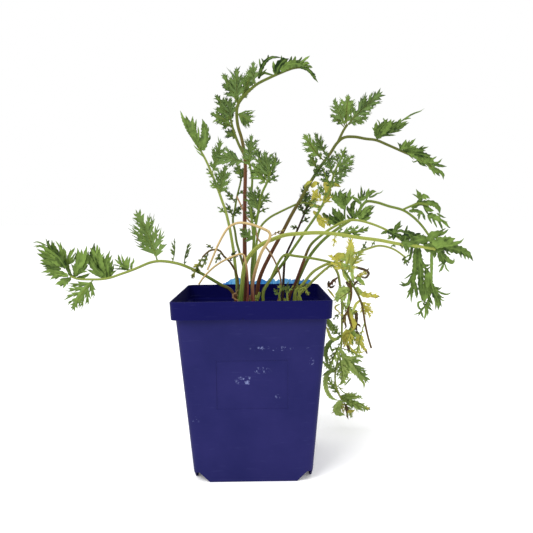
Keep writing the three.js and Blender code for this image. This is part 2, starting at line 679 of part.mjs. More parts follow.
function tube(curve, radii, steps) {
  const frames = curve.computeFrenetFrames(steps, false);
  const rings = [];
  for (let i = 0; i <= steps; i++) {
    const middle = curve.getPointAt(i / steps);
    const radius = THREE.MathUtils.lerp(radii[0], radii[1], i / steps);
    const ring = [];
    for (let k = 0; k < STALK_SIDES; k++) {
      const angle = (k * 2 * Math.PI) / STALK_SIDES;
      ring.push(
        middle
          .clone()
          .addScaledVector(frames.normals[i], radius * Math.cos(angle))
          .addScaledVector(frames.binormals[i], radius * Math.sin(angle)),
      );
    }
    rings.push(ring);
  }
  return loft(rings, curve.getPointAt(0), curve.getPointAt(1));
}

// One side of a leaflet's outline as [distance along the rib, distance from it]. The lobes slant forward,
// with a notch cut nearly to the rib behind each of them, and the last one is the tip of the leaflet.
function outline(length, width, lobes, start) {
  const slant = THREE.MathUtils.degToRad(LOBE_ANGLE);
  const reach = width / 2 / Math.sin(slant);
  const petiolule = length * PETIOLULE_SHARE;
  const periods = lobes + start + BARE_END;
  const period = (length - petiolule) / periods;
  const points = [[0, PETIOLULE_HALF]];
  for (let lobe = 0; lobe <= lobes; lobe++) {
    const along = petiolule + period * (lobe + start);
    const tall = reach * envelope((lobe + start) / periods);
    points.push([along, Math.max(PETIOLULE_HALF, NOTCH_SHARE * tall)]);
    if (lobe < lobes) {
      points.push([along + LOBE_STEP * period + tall * Math.cos(slant), tall * Math.sin(slant)]);
    }
  }
  return points;
}

// Height of the lobes along the leaflet: widest a little before the middle, falling to a narrow tip
function envelope(share) {
  const rise = Math.pow(share + OUTLINE_RISE[0], OUTLINE_RISE[1]);
  return OUTLINE_HEIGHT * rise * Math.pow(OUTLINE_FALL[0] - share, OUTLINE_FALL[1]);
}

function leaflet(root, tip, width, turn) {
  const rib = tip.clone().sub(root);
  const length = rib.length();
  rib.normalize();
  const face = EYE.clone().sub(root).normalize();
  face.addScaledVector(rib, -face.dot(rib)).normalize();
  face.applyAxisAngle(rib, THREE.MathUtils.degToRad(turn));
  const across = rib.clone().cross(face);
  const up = face.z < 0 ? -1 : 1;
  const lobes = 1 + MORE_LOBES_FROM.filter((limit) => length >= limit).length;
  const left = outline(length, width, lobes, 0);
  const right = outline(length, width, lobes, RIGHT_SIDE_START);
  const spine = [[0, 0], [length * 0.5, 0], [length, 0]];

  const onBlade = ({ x: along, y: out }, lift) => {
    const share = along / length;
    const arch = BLADE_ARCH * length * 4 * share * (1 - share) - BLADE_FOLD * Math.abs(out);
    return root
      .clone()
      .addScaledVector(rib, along)
      .addScaledVector(across, out)
      .addScaledVector(face, up * arch + lift);
  };

  const flat = [
    ...spine,
    ...left,
    ...right.map(([along, out]) => [along, -out]),
  ].map(([along, out]) => new THREE.Vector2(along, out));
  const points = [0.5, -0.5].flatMap((half) => flat.map((point) => onBlade(point, half * BLADE_THICKNESS)));
  const under = flat.length;
  const leftIndex = left.map((_, i) => spine.length + i);
  const rightIndex = right.map((_, i) => spine.length + left.length + i);
  const faces = [];
  for (const edge of [leftIndex, rightIndex]) {
    const loop = [0, ...edge, 2, 1];
    for (const corner of THREE.ShapeUtils.triangulateShape(loop.map((i) => flat[i]), [])) {
      let [a, b, c] = corner.map((i) => loop[i]);
      if (THREE.ShapeUtils.area([flat[a], flat[b], flat[c]]) > 0) [b, c] = [c, b];
      faces.push(a, b, c, a + under, c + under, b + under);
    }
  }
  const rim = [0, ...leftIndex, 2, ...rightIndex.reverse()];
  rim.forEach((a, i) => {
    const b = rim[(i + 1) % rim.length];
    faces.push(b, a, a + under, b, a + under, b + under);
  });
  const geometry = new THREE.BufferGeometry().setFromPoints(points);
  geometry.setIndex(faces);
  return solidOf(geometry);
}

// A stalk with its leaflets and its branch. The leaflets spring from its straight lengths.
function growStalk(curve, { radii, leaflets, branch }, parts) {
  let solid = tube(curve, radii, parts);
  const knots = curve.getSpacedPoints(parts);
  const last = parts * (1 - ROOT_SINK / curve.getLength());
  const inStalk = (share) => {
    const knot = Math.min(share * parts, last);
    const below = Math.floor(knot);
    return knots[below].clone().lerp(knots[below + 1], knot - below);
  };
  for (const [at, x, z, depth, width, turn] of leaflets) {
    const root = inStalk(at);
    solid = solid.add(leaflet(root, place([x, z, root.y + depth]), width, turn));
  }
  if (branch) {
    const points = [inStalk(branch.at), ...branch.route.map(place)];
    const steps = Math.round(branch.route.length * BRANCH_STEPS_PER_POINT);
    solid = solid.add(growStalk(stalkCurve(points), branch, steps));
  }
  return solid;
}

function frondCurve({ foot, route }) {
  const [x, y] = foot;
  const low = [SOIL_TOP - STALK_DEPTH, SOIL_TOP + STALK_UPRIGHT].map((z) => new THREE.Vector3(x, y, z));
  return stalkCurve([...low, ...route.map(place)]);
}

// The plain hole that a stalk stands in
function stalkHole({ foot, radii }) {
  const length = STALK_DEPTH + HOLE_CLEARANCE + HOLE_HEAD;
  const radius = (radii[0] + HOLE_CLEARANCE) / Math.cos(Math.PI / HOLE_SIDES);
  const hole = new THREE.CylinderGeometry(radius, radius, length, HOLE_SIDES);
  hole.rotateX(Math.PI / 2);
  hole.translate(foot[0], foot[1], SOIL_TOP - STALK_DEPTH - HOLE_CLEARANCE + length / 2);
  return solidOf(hole);
}

// The whole plant

const plant = new THREE.Group();
const potMaterial = new THREE.MeshStandardMaterial({ color: 0x2c2a68, roughness: 0.45, metalness: 0 });
const tapeMaterial = new THREE.MeshStandardMaterial({ color: 0x2f86d8, roughness: 0.4, metalness: 0 });
const soilMaterial = new THREE.MeshStandardMaterial({ color: 0x2b2019, roughness: 0.95, metalness: 0 });
const woodMaterial = new THREE.MeshStandardMaterial({ color: 0x5a2f22, roughness: 0.85, metalness: 0 });

plant.add(meshOf("pot", buildPot(), potMaterial));
plant.add(meshOf("tape", buildTape(), tapeMaterial));
const holes = Object.values(FRONDS).map(stalkHole);
for (const [name, crown] of Object.entries(CROWNS)) {
  plant.add(meshOf(name, buildCrown(crown), woodMaterial));
  holes.push(buildCrown(crown, HOLE_CLEARANCE));
}
plant.add(meshOf("soil", buildSoil(holes), soilMaterial));
for (const [name, frond] of Object.entries(FRONDS)) {
  const colour = COLOURS[name] ?? LEAF_GREEN;
  const material = new THREE.MeshStandardMaterial({ color: colour, roughness: 0.6, metalness: 0 });
  const steps = Math.round(frond.route.length * STEPS_PER_POINT) + FOOT_STEPS;
  plant.add(meshOf(name, growStalk(frondCurve(frond), frond, steps), material));
}

export default plant;
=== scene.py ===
import math

import bmesh
import bpy
import numpy as np
from bpy.props import FloatProperty, FloatVectorProperty, IntProperty, PointerProperty
from bpy.types import Operator, Panel, PropertyGroup
from mathutils import Matrix, Vector


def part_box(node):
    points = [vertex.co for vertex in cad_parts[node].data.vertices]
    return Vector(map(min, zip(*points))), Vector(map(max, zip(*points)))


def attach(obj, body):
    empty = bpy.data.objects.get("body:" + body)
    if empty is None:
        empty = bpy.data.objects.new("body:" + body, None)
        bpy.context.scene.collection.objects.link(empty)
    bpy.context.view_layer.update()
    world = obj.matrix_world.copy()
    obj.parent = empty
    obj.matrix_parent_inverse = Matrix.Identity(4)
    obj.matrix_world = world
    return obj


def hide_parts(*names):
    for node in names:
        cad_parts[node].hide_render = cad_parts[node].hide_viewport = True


bl_info = {
    "name": "Potted tanacetum",
    "version": (1, 0, 0),
    "blender": (4, 5, 0),
    "location": "View3D > Sidebar > Tanacetum",
    "description": "Dresses the solid parts of a potted tanacetum: leaves, stalks, soil, pot and studio",
    "category": "Object",
}

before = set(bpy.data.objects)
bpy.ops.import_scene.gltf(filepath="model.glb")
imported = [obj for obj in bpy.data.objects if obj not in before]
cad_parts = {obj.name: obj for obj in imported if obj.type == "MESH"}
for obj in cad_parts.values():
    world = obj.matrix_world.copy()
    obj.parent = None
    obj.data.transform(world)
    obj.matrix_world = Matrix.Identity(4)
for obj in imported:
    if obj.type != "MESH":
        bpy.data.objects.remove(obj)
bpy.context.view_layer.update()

# Sizes are in millimetres, in the frame of the solid parts, until a mesh is filled in metres
MM = 0.001

# The plant was measured from one point of view. A seen place is [x, z, depth]: x and z are where the eye sees
# it on the upright plane through the middle of the pot, and depth is how far behind that plane it lies.
EYE = np.array([6.64, -444.21, 179.69])
EYE_PITCH = 0.0766
EYE_YAW = 0.0093
EYE_ROLL = -0.01
PHOTO_SIDE_PX = 533
FOCAL_PX = 603.05
SENSOR = 36.0

# Studio, in metres
FLOOR_RADIUS = 30.0
FLOOR_SIDES = 96
LIT_POINT = (0, 0, 0.12)
KEY_SIZE = 0.9
KEY_PLACE = (-0.7, -0.9, 1.3)
FILL_SIZE = 1.2
FILL_PLACE = (1.3, -0.6, 0.7)

# Pot, in the sizes of its solid part. Its scuffs fade out from the first to the second y of FRONT_FADE
POT_WALL = 1.35
POT_CORNER = 5.0
RIM_HALF = 54.0
BAND_BOTTOM = 114.7
BAND_BLUR = 0.5
FOOT_HALF = 40.8
BODY_SLOPE = 0.0853
FRONT_FADE = [-45, -35]

# Soil: its place in the pot, and its crumbs by the least size and the most that a draw adds
SOIL_TOP = 108.5
SOIL_FOOT = 8.75
SOIL_GAP = 0.35
SOIL_CORNER = 3.3
SOIL_EDGE_DROP = 1.6
STALK_DEPTH = 9.0
SOIL_AROUND = 120
SOIL_RINGS = 44
CRUMB_SIZE = [0.35, 1.5]
CRUMB_SIDES = 5
CRUMB_RINGS = [-62, -20, 24, 64]
# Roughness of the soil as [height, spacing], for clods, small clods and grains
CLODS = [[0.9, 5.5], [0.5, 2.2], [0.25, 1.0]]

# Torn tape behind the rim: its top edge as [x, z], left to right, and its frays as [height, spacing]
TAPE_BOTTOM = 118.0
TAPE_THICKNESS = 0.5
TAPE_EDGE = [
    [-25, 127.5], [-19, 130], [-14, 133], [-10, 131], [-2, 129.5], [3.5, 129.5], [7.5, 131.5],
    [11, 129.8], [15, 132.2], [18.5, 129.6], [23, 131], [34, 130.2], [48, 130],
]
TAPE_FRAYS = [[0.7, 1.1], [0.4, 0.5]]
TAPE_BELLY = [0.35, 7.0]
TAPE_STEPS = 150
TAPE_ROWS = 7

# Woody crowns: the middle [x, y], the radius, the height of the top above the ground and how many cut-off
# stalks stand round it
CROWNS = {
    "crown_main": {"middle": [-0.5, 1], "radius": 5, "top": 124, "stubs": 11},
    "crown_side": {"middle": [27.5, 2.5], "radius": 2.6, "top": 119, "stubs": 6},
}
CROWN_FOOT = 4
CROWN_PROFILE = [[0, 0.45, 0.75, 1], [0.8, 1, 0.85, 0.45]]
CROWN_RINGS = 14
CROWN_SIDES = 26
STUB_RADII = [1.3, 0.95]
STUB_HEIGHT = [4, 8]
STUB_DROP = [4, 9]
# Turn from one stub to the next, which never brings one over another
STUB_TURN = 2.4

# Pale scuffs on the front of the pot: middle x and z, half width, half height
SCUFFS = [
    [13, 94.5, 17, 2], [6.5, 79.5, 8, 2.6], [-5, 72.5, 7.5, 3.6], [17.5, 61, 2.5, 2],
    [40, 84.5, 2, 4], [38, 94.5, 2, 1.5], [-38.5, 45, 3, 3], [46, 54, 1.5, 1.5],
]

# Stalks
STALK_SIDES = 10
STALK_RIDGES = 5
STALK_SPACING = 2.2
STALK_RISE = 2
RIDGE_DEPTH = 0.09
FOOT_FLARE = 0.35
FLARE_FALL = 9
COLOUR_TURN = 0.35
USUAL_GIRTH = [0.85, 0.9]
USUAL_TONE = 0.5

# Ribs of the leaflets
RIB_SIDES = 6
RIB_STEPS = 9
RIB_END = 0.94
RIB_RADIUS = 0.26
RIB_GROWTH = 0.007
RIB_TAPER = 0.75
RIB_WING = 0.8
RIB_SWAY = 0.05
TIP_REACH = 0.04

# Blades of the leaflets. BARE_SHARE is the part of the rib without blade on leaflets of the two BARE_LENGTHS
BARE_SHARE = [0.04, 0.1]
BARE_LENGTHS = [8, 22]
BLADE_END = 0.97
BLADE_ARCH = 0.07
BLADE_FOLD = 0.22
OUTLINE_START = 0.04
OUTLINE_END = 1.12
CORE_THICKNESS = 0.3
CORE_TAPER = 3
TONE_SPREAD = 0.25

# Lobes. A leaflet has two pairs and one more from each of the lengths MORE_LOBES_FROM, a lobe one tooth a
# side and one more from each of MORE_TEETH_FROM. The angles are those of the first and of the last pair.
MORE_LOBES_FROM = [11, 19, 32]
MORE_TEETH_FROM = [4.5, 11]
LOBE_ANGLES = [50, 22]
ANGLE_SPREAD = 6
PAIR_SHIFT = 0.3
END_LOBE_FROM = 0.72
END_LOBE_WIDTH = 0.8
END_LOBE_REACH = 1.05
LOBE_CROWDING = 2.0
LOBE_FOLD = 0.18
WILT_FOLD = 0.5
LOBE_EDGE = 0.35
WILT_FROM = 1.2
# Rows across a blade, from its left edge over the top to its right edge and back below, and their heights
BLADE_ROWS = np.array([1.0, 0.5, 0.0, -0.5, -1.0, 0.0])
ROW_HEIGHTS = np.array([0.0, 0.8, 1.0, 0.8, 0.0, -1.0])

# Teeth, as shares of the lobe's length and of the turn from one tooth to the next
TOOTH_LEAN = 0.37
TOOTH_SHIFT = 0.18
TOOTH_LENGTHS = [0.82, 1.12]
NEAR_CORNER = [0.3, 0.74]
NOTCH_TURN = 0.5
THREAD_CHANCE = 0.1
THREAD_REACH = 1.5

# Blades that bend or curl. TOOTH_PITCH is the space between their teeth
STRAP_SPACING = 1.0
STRAP_ROLL = 0.35
STRAP_FOLD = 0.25
STRAP_TONE_SPREAD = 0.35
TOOTH_PITCH = 3.2
TOOTH_DEPTH = 0.42
GREEN_RIPENESS = [0, 0.1]

# Styles of leaflets: how far the lobes reach against the solid leaflet, the width of a lobe for its length,
# the share of the half width that is undivided blade, the power of the outline, the most teeth on a side of
# a lobe, how far out the notches between the teeth lie, and the share of a lobe that is its wedge-shaped
# foot
LEAF_FORM = {
    "usual": [1.12, 0.63, 0.34, 1.0, 2, 0.45, 0.4],
    "fan": [1.1, 0.74, 0.42, 1.25, 2, 0.5, 0.42],
    "lacy": [1.12, 0.6, 0.26, 1.0, 2, 0.36, 0.36],
    "fingered": [1.0, 0.6, 0.2, 1.1, 2, 0.3, 0.3],
}
# Blades that bend or curl, with their fingers: width, depth at the foot and at the tip, and then x and z of
# each seen place that the blade runs through
STRAPS = {
    "frond_left_arch": [
        [4.6, -18, -20, -137, 146, -143, 155, -148, 161.5, -151, 168],
        [4.6, -18, -20, -138.5, 147, -146, 156, -151, 160.5, -154.5, 165],
        [4.2, -18, -20, -140, 147.5, -147.5, 154, -152.5, 157.5, -158, 160.5],
        [4.2, -18, -20, -141.5, 147.5, -147.5, 151.5, -152.5, 155, -158, 157],
        [3.7, -18, -20, -141.5, 147, -147, 149.5, -151.5, 151.5, -156, 152],
        [2.9, -18, -20, -141.5, 146, -147, 147.5, -151.5, 149, -156.5, 150],
        [2.7, -18, -20, -140.5, 145.5, -145.5, 146, -150, 147, -154, 147.5],
        [3.7, -17, -19, -140.5, 150.5, -144.5, 159.5, -146, 163, -146.5, 167],
        [2.9, -17, -19, -140.5, 152, -143, 158, -145, 161.5, -145, 165.5],
        [1.3, -19, -20, -150, 163, -149, 165.5, -148.5, 167],
        [1.6, -19, -20, -152, 161, -155.5, 162.5, -158.5, 161.5],
        [3.3, -17, -18, -135.5, 140, -141.5, 142.5, -148, 144, -155.5, 143],
        [2.6, -17, -18, -136.5, 140, -143, 141.5, -148, 141.5, -152.5, 140.5],
        [2.6, -17, -18, -138, 141.5, -143.5, 144, -148.5, 145, -153, 146],
        [2.6, -17, -18, -138, 140.5, -143, 141, -146, 139.5, -149, 137.5],
        [1.7, -17, -18, -139.5, 140.5, -142.5, 140, -145.5, 137.5],
        [1.5, -15, -17, -130.5, 139, -135, 143, -137.5, 148.5, -140.5, 154],
        [3.3, -16, -14, -136, 147, -139, 153.5, -140, 159.5, -140.5, 165.5],
        [2.7, -16, -14, -136, 148.5, -137, 154, -137.5, 158, -138.5, 161.5],
        [3.1, -15, -12, -133.5, 140, -135.5, 147.5, -134.5, 153.5, -133, 160],
        [2.3, -14, -12, -135, 149.5, -133.5, 155.5, -129.5, 161.5],
        [1.7, -14, -12, -135, 149, -131.5, 154, -129.5, 157.5],
        [1.5, -14, -12, -134.5, 149, -131.5, 151, -129.5, 155],
        [3.7, -15, -17, -133.5, 138.5, -138.5, 136.5, -142, 135, -145.5, 134],
        [1.8, -15, -17, -133.5, 138.5, -137, 138, -140, 138, -142.5, 137],
        [2.1, -15, -17, -135.5, 137, -138, 134, -139.5, 131],
        [1.5, -15, -17, -134.5, 138, -136, 135.5, -136, 133.5],
        [1.5, -15, -17, -139, 135, -140.5, 133.5, -142, 132.5],
        [4.2, -13, -11, -130.5, 139.5, -129, 146, -127, 152, -128, 161],
        [3.8, -13, -11, -130, 140, -126, 147.5, -123, 154, -121, 162.5],
        [3.4, -13, -11, -129, 141, -125, 146, -121.5, 150.5, -120, 158.5],
        [2, -13, -12, -129.5, 140.5, -126, 143, -121, 143.5],
        [2.5, -13, -12, -130, 141, -131, 146, -133, 149],
        [2.7, -12, -11, -128.5, 146.5, -128.5, 152, -129.5, 157.5],
        [3.1, -12, -11, -127.5, 145, -125.5, 152.5, -125, 160],
        [2.2, -13, -12, -127.5, 144, -123.5, 145.5, -120.5, 148.5],
        [2.6, -12, -12, -130, 138, -124.5, 139.5, -119, 142],
        [5.8, -12, -9, -108.5, 138.5, -114.5, 146, -116.5, 153, -115.5, 164.5],
        [4.6, -12, -9, -108.5, 138.5, -112.5, 147.5, -113, 154, -111.5, 161.5],
        [3.6, -12, -9, -109, 140.5, -111, 149.5, -110.5, 154, -108.5, 157],
        [4.8, -12, -10, -110, 140, -116, 146.5, -119.5, 152.5, -120.5, 158],
        [2.9, -11, -9, -114, 149.5, -115.5, 156, -117.5, 159, -119, 161],
        [1.7, -11, -9, -114, 156, -113.5, 160, -113.5, 163.5],
        [2.5, -12, -10, -109, 138.5, -115, 141.5, -118.5, 143.5, -122, 145],
        [2.5, -12, -10, -110.5, 140.5, -114.5, 144, -118, 146],
        [3.3, -11, -9, -106.5, 138.5, -108.5, 146, -107, 151.5, -104, 159],
        [3.1, -11, -9, -106, 138.5, -106.5, 145.5, -105.5, 151, -102.5, 155.5],
        [2.5, -11, -9, -105.5, 138.5, -105, 145, -103.5, 149, -102, 152.5],
        [2.5, -11, -9, -105.5, 138.5, -103.5, 144, -101.5, 148],
        [1.8, -11, -10, -105, 139, -102.5, 142.5, -99.5, 144],
        [2.5, -11, -9, -108, 145, -109.5, 150, -108.5, 155.5],
        [1.8, -11, -9, -106.5, 139, -109, 143.5, -110.5, 147.5],
        [1.3, -9, -10, -89, 144, -96, 145, -99.5, 145, -102.5, 145.5],
        [2.5, -9, -8, -93.5, 144, -96, 148.5, -97.5, 152.5, -98.5, 156],
        [1.8, -9, -8, -93, 144, -94.5, 150, -96, 156], [1.6, -9, -8, -96.5, 148, -99, 150.5, -101, 152.5],
        [2.5, -9, -8, -92, 144, -92.5, 150, -91, 154.5], [1.6, -9, -8, -91, 145, -90.5, 150, -89.5, 154.5],
        [1.8, -8, -8, -89, 144, -88.5, 148.5, -87, 150.5, -87.5, 153.5],
        [2.3, -9, -9, -91.5, 145, -94, 147, -96.5, 147, -98, 145.5],
        [1, -18, -18, -150, 162.5, -154, 164.5, -157.5, 165.5, -161, 164.5],
        [1, -18, -18, -151, 160, -155.5, 162.5, -158.5, 162.5, -160.5, 162],
        [1.2, -18, -18, -139.5, 158, -141.5, 162.5, -144, 166.5],
        [0.9, -12, -12, -97, 147, -101, 148, -103, 148],
    ],
    "frond_upright_left": [
        [4.4, 54, 66, -34.5, 231, -40, 239, -45.5, 247.5, -50.5, 259],
        [5.9, 56, 60, -36.5, 233, -40, 240.5, -42, 247.5, -41.5, 255.5],
        [4.8, 58, 62, -41.5, 240.5, -44.5, 247.5, -46.5, 256],
        [1.8, 62, 64, -46.5, 250, -48.5, 254, -50.5, 259.5],
        [1.9, 58, 60, -40, 243.5, -39.5, 249, -39, 253.5],
        [1.8, 56, 58, -38, 237.5, -37.5, 243.5, -38, 248.5],
        [7.4, 52, 54, -35.5, 231, -33.5, 237.5, -32.5, 244, -34.5, 253],
        [1.8, 53, 54, -32, 245.5, -33, 249.5, -35, 253.5],
        [1.5, 53, 53, -31.5, 237, -29.5, 239.5, -29.5, 242.5],
        [1.5, 53, 53, -32, 242.5, -30.5, 245.5, -30.5, 248],
        [1.2, 50, 50, -35.5, 229.5, -39, 232, -41.5, 235], [1.1, 49, 49, -34, 226, -37.5, 229, -39.5, 231],
    ],
    "frond_brown_arch": [
        [2.1, -37, -37, 101.5, 171, 98, 170, 95, 168.5], [1.1, -37, -37, 99.5, 171, 98.5, 168.5],
        [4.4, -40, -42, 100.5, 171.5, 104.5, 169, 104.5, 164],
        [2.9, -42, -42, 105, 168.5, 106.5, 173, 108.5, 176, 110, 178.5],
        [1.5, -43, -43, 106.5, 171.5, 108.5, 173.5, 111.5, 175],
        [1.6, -41, -41, 103.5, 167, 101.5, 165.5, 100, 165], [1.1, -41, -41, 102, 165.5, 101, 168.5],
        [2.9, -44, -60, 105, 168.5, 109.5, 167, 111.5, 164, 112.5, 161],
        [1.9, -46, -50, 106.5, 170, 110, 171, 113, 169.5, 113.5, 166.5],
        [5.2, -63, -52, 112.5, 160.5, 113, 164, 114.5, 168.5, 114, 171.5],
        [1.5, -54, -54, 113, 170, 114, 172, 115, 175],
        [4.4, -56, -62, 113, 169.5, 117.5, 168, 121, 165, 124.5, 162.5],
        [1.5, -56, -56, 115.5, 170, 117.5, 169.5, 120, 169],
        [1.9, -60, -58, 118.5, 163.5, 117.5, 166.5, 116, 168.5],
        [1.9, -60, -60, 120, 166.5, 122, 168, 125, 169],
        [1.3, -62, -62, 123.5, 166, 125.5, 166.5, 127, 168.5],
        [5.9, -62, -66, 117.5, 162, 123.5, 164, 128, 164.5, 132.5, 166],
        [4.4, -63, -64, 111, 162, 115.5, 162, 120, 160.5, 125, 159.5],
    ],
    "frond_upper_right": [
        [1.3, 30, 29, 109, 250, 113, 252.5, 117, 255, 120.5, 256.5, 123.5, 257.5, 126.5, 259.5],
        [1.1, 30, 30, 112.5, 251.5, 114.5, 252.5, 117, 252.5],
        [5.2, 28, 30, 91.5, 238.5, 98, 243, 105.5, 246, 111, 247.5, 115.5, 249.5],
        [5.2, 28, 26, 91.5, 239.5, 93.5, 244.5, 97, 248.5, 100, 252.5],
        [3.7, 28, 27, 91.5, 239.5, 91.5, 245, 91.5, 250.5],
        [5.2, 28, 27, 94.5, 241.5, 99.5, 246.5, 102.5, 252],
        [4.4, 29, 28, 98.5, 243.5, 104, 247.5, 106.5, 250.5],
        [3.7, 29, 29, 104, 245.5, 108, 249, 109.5, 252.5], [1.8, 29, 30, 107.5, 247, 111, 249, 114.5, 250.5],
        [1.2, 27, 26, 94.5, 246.5, 93.5, 250, 92, 252], [1.3, 28, 27, 92, 242, 90, 244.5, 88.5, 246.5],
        [1.4, 26, 26, 98, 249.5, 97.5, 251, 96.5, 253], [1.2, 27, 27, 102.5, 249.5, 104, 250.5, 105, 251.5],
        [1.6, 29, 31, 96.5, 240.5, 101.5, 240.5, 106, 240.5],
        [1.9, 29, 31, 98.5, 242, 104.5, 243, 110.5, 244], [1.5, 29, 30, 106, 244.5, 109.5, 245.5, 112, 246.5],
        [3.7, 32, 31, 109, 230, 112, 233.5, 113.5, 237.5], [3.2, 32, 31, 110.5, 230.5, 114, 232.5, 116, 237],
        [2.7, 32, 31, 111, 230.5, 115.5, 233.5, 120.5, 238],
        [1.5, 32, 31, 109.5, 230, 108.5, 233.5, 107, 235.5],
        [1.1, 32, 31, 109, 231, 109.5, 233.5, 109.5, 235], [1.6, 32, 31, 112, 231, 117, 232, 120, 233.5],
        [2.5, 33, 32, 112, 230, 118.5, 231, 122, 233.5],
        [3.7, 33, 34, 111, 229.5, 118, 229.5, 123.5, 229.5, 128, 229],
        [1.9, 34, 33, 120, 230, 125, 230.5, 130, 232], [1.3, 34, 33, 122, 230, 124.5, 231.5, 126.5, 233],
        [4.1, 33, 36, 114, 228.5, 120, 225.5, 125, 222, 130.5, 218],
        [4.4, 34, 35, 118.5, 228, 124.5, 226.5, 129, 225.5, 132, 226],
        [5.2, 35, 36, 123, 225.5, 128, 223.5, 132, 221.5, 135, 219.5],
        [1.6, 35, 34, 130.5, 222, 133, 223, 136, 225], [1.6, 36, 35, 132.5, 220.5, 137, 220.5, 140, 223.5],
        [2.4, 36, 36, 132, 220, 137, 218.5, 143.5, 217.5],
        [4.1, 36, 38, 129, 221, 132, 217.5, 135.5, 214.5, 138.5, 212.5],
        [2.8, 38, 39, 134, 216.5, 137.5, 214.5, 140.5, 212, 141, 208],
        [2.4, 37, 37, 131, 219, 133, 215, 135, 211], [2.1, 38, 38, 134, 215, 136.5, 212.5, 138.5, 210.5],
        [1, 34, 34, 113.5, 228, 117, 225, 119.5, 222.5],
        [1.1, 36, 35, 123, 222.5, 120.5, 221.5, 118.5, 221, 118, 222.5],
        [2.2, 36, 35, 121, 223.5, 124.5, 220, 129, 217.5],
    ],
    "frond_tall": [
        [2.7, -8, -14, 6.5, 281.5, 8, 287.5, 11, 293, 15, 296, 19, 296.5, 24, 296],
        [1.3, -9, -9, 8, 289, 7.5, 292.5, 7, 296], [1.1, -10, -10, 10, 292.5, 9.5, 294.5, 8.5, 296],
        [1.3, -11, -11, 14, 295, 13.5, 297, 13.5, 298.5],
        [5.2, -15, -20, 19.5, 285, 21, 289.5, 24, 293.5, 28.5, 295.5],
        [1.1, -17, -17, 22.5, 294, 23, 295.5, 23, 298],
        [2.9, -14, -12, 19, 284, 18, 287.5, 17.5, 291, 17, 294],
        [2.2, -14, -15, 20.5, 285.5, 20, 290.5, 20, 294.5],
        [4.4, -18, -23, 22.5, 287, 27.5, 291, 34, 292, 40, 291, 44.5, 288.5],
        [1.9, -19, -20, 27.5, 292, 29.5, 294, 30.5, 297.5],
        [2.2, -20, -21, 30.5, 292.5, 32.5, 294.5, 33, 297.5], [1.6, -21, -22, 33.5, 293, 36, 294, 38, 297],
        [1.8, -22, -23, 36.5, 292.5, 39.5, 294.5, 43.5, 297.5],
        [1.5, -22, -22, 38, 293, 40, 294.5, 40.5, 296.5],
        [1.8, -23, -23, 38.5, 291.5, 41, 292.5, 43.5, 291.5],
        [1.5, -24, -24, 41.5, 290, 43.5, 290, 45.5, 289],
        [2.5, -21, -24, 36.5, 289.5, 41.5, 288, 45, 284.5, 47, 281.5, 49.5, 278.5],
        [1.2, -23, -23, 45, 285.5, 46.5, 284.5, 47.5, 284], [1.1, -23, -23, 46, 283, 47, 283, 48, 282.5],
        [1.6, -6, -10, 6, 282, 10.5, 285.5, 14.5, 284.5, 18.5, 284],
        [1.2, -8, -8, 8, 285, 10.5, 286.5, 12.5, 288.5],
    ],
    "frond_right_arch": [
        [1.3, 16, 14, 69, 179.5, 68.5, 185, 69, 190, 68, 194.5],
        [4.8, 14, 12, 69, 187.5, 64.5, 192, 61, 195.5, 57.5, 198.5],
        [4.8, 14, 12, 69, 189.5, 66.5, 194, 65, 198.5, 65.5, 202],
        [4.1, 14, 12, 69, 190, 69, 194.5, 68.5, 197.5, 70.5, 200],
        [3.2, 14, 12, 69.5, 190, 71, 194.5, 72, 198, 73, 202.5],
        [1.9, 14, 12, 70.5, 191.5, 73.5, 195.5, 76, 198], [2.7, 13, 12, 63.5, 193, 62, 197.5, 62, 201],
        [1.8, 13, 12, 62, 194, 60, 197, 60, 200], [0.8, 13, 12, 66, 200, 67.5, 201, 69, 202.5],
        [3.4, 17, 18, 76, 180, 73, 184.5, 71, 187.5, 70.5, 190],
        [4.1, 17, 18, 75.5, 180, 74, 185, 74.5, 189.5, 76, 193],
        [1.6, 17, 18, 76, 180.5, 77, 184.5, 77.5, 188], [1.9, 17, 18, 74.5, 179, 72, 180.5, 70, 183.5],
        [3.2, 17, 16, 74, 188, 75, 191.5, 77.5, 194],
        [1.5, 15, 14, 77, 180.5, 79, 185, 80.5, 189.5, 80.5, 194.5],
        [1.9, 14, 13, 80.5, 193, 81, 198, 80.5, 204.5], [1.6, 14, 13, 80.5, 193, 79, 196, 78.5, 199.5],
        [2.5, 14, 13, 80, 191, 77.5, 194, 73.5, 196.5], [1.6, 14, 13, 80.5, 194.5, 82.5, 197.5, 83.5, 201.5],
        [2.7, 14, 13, 80, 194, 82.5, 195, 85, 197],
        [1.6, 14, 13, 79, 183.5, 81.5, 189.5, 84.5, 194, 86, 197.5],
        [2.9, 13, 12, 84.5, 194.5, 85.5, 199, 86.5, 202.5], [2.9, 13, 12, 85.5, 196.5, 88.5, 199.5, 92, 200],
        [1.5, 13, 12, 86.5, 195.5, 89.5, 196.5, 92.5, 198.5, 94.5, 199],
        [0.7, 12, 12, 91.5, 198, 95, 199, 97, 201], [4.8, 15, 14, 79, 180, 82.5, 184.5, 85.5, 187, 88, 190],
        [3.4, 15, 14, 80, 180, 84.5, 184, 87.5, 187, 91, 189.5],
        [2.7, 15, 14, 80.5, 180, 85, 182.5, 88, 184, 90, 185], [3.4, 15, 14, 80, 179.5, 84.5, 180, 88, 181.5],
        [3.2, 15, 14, 80.5, 181.5, 83, 185.5, 84.5, 189.5], [1.8, 15, 14, 83.5, 187, 87, 189, 90, 189.5],
        [4.8, 18, 17, 67.5, 177, 63.5, 181.5, 61, 185, 59.5, 189],
        [2.9, 18, 17, 67.5, 178, 65.5, 182, 64.5, 185, 64, 188],
        [4.1, 18, 17, 66, 177, 61.5, 179, 58.5, 181.5, 57, 184.5],
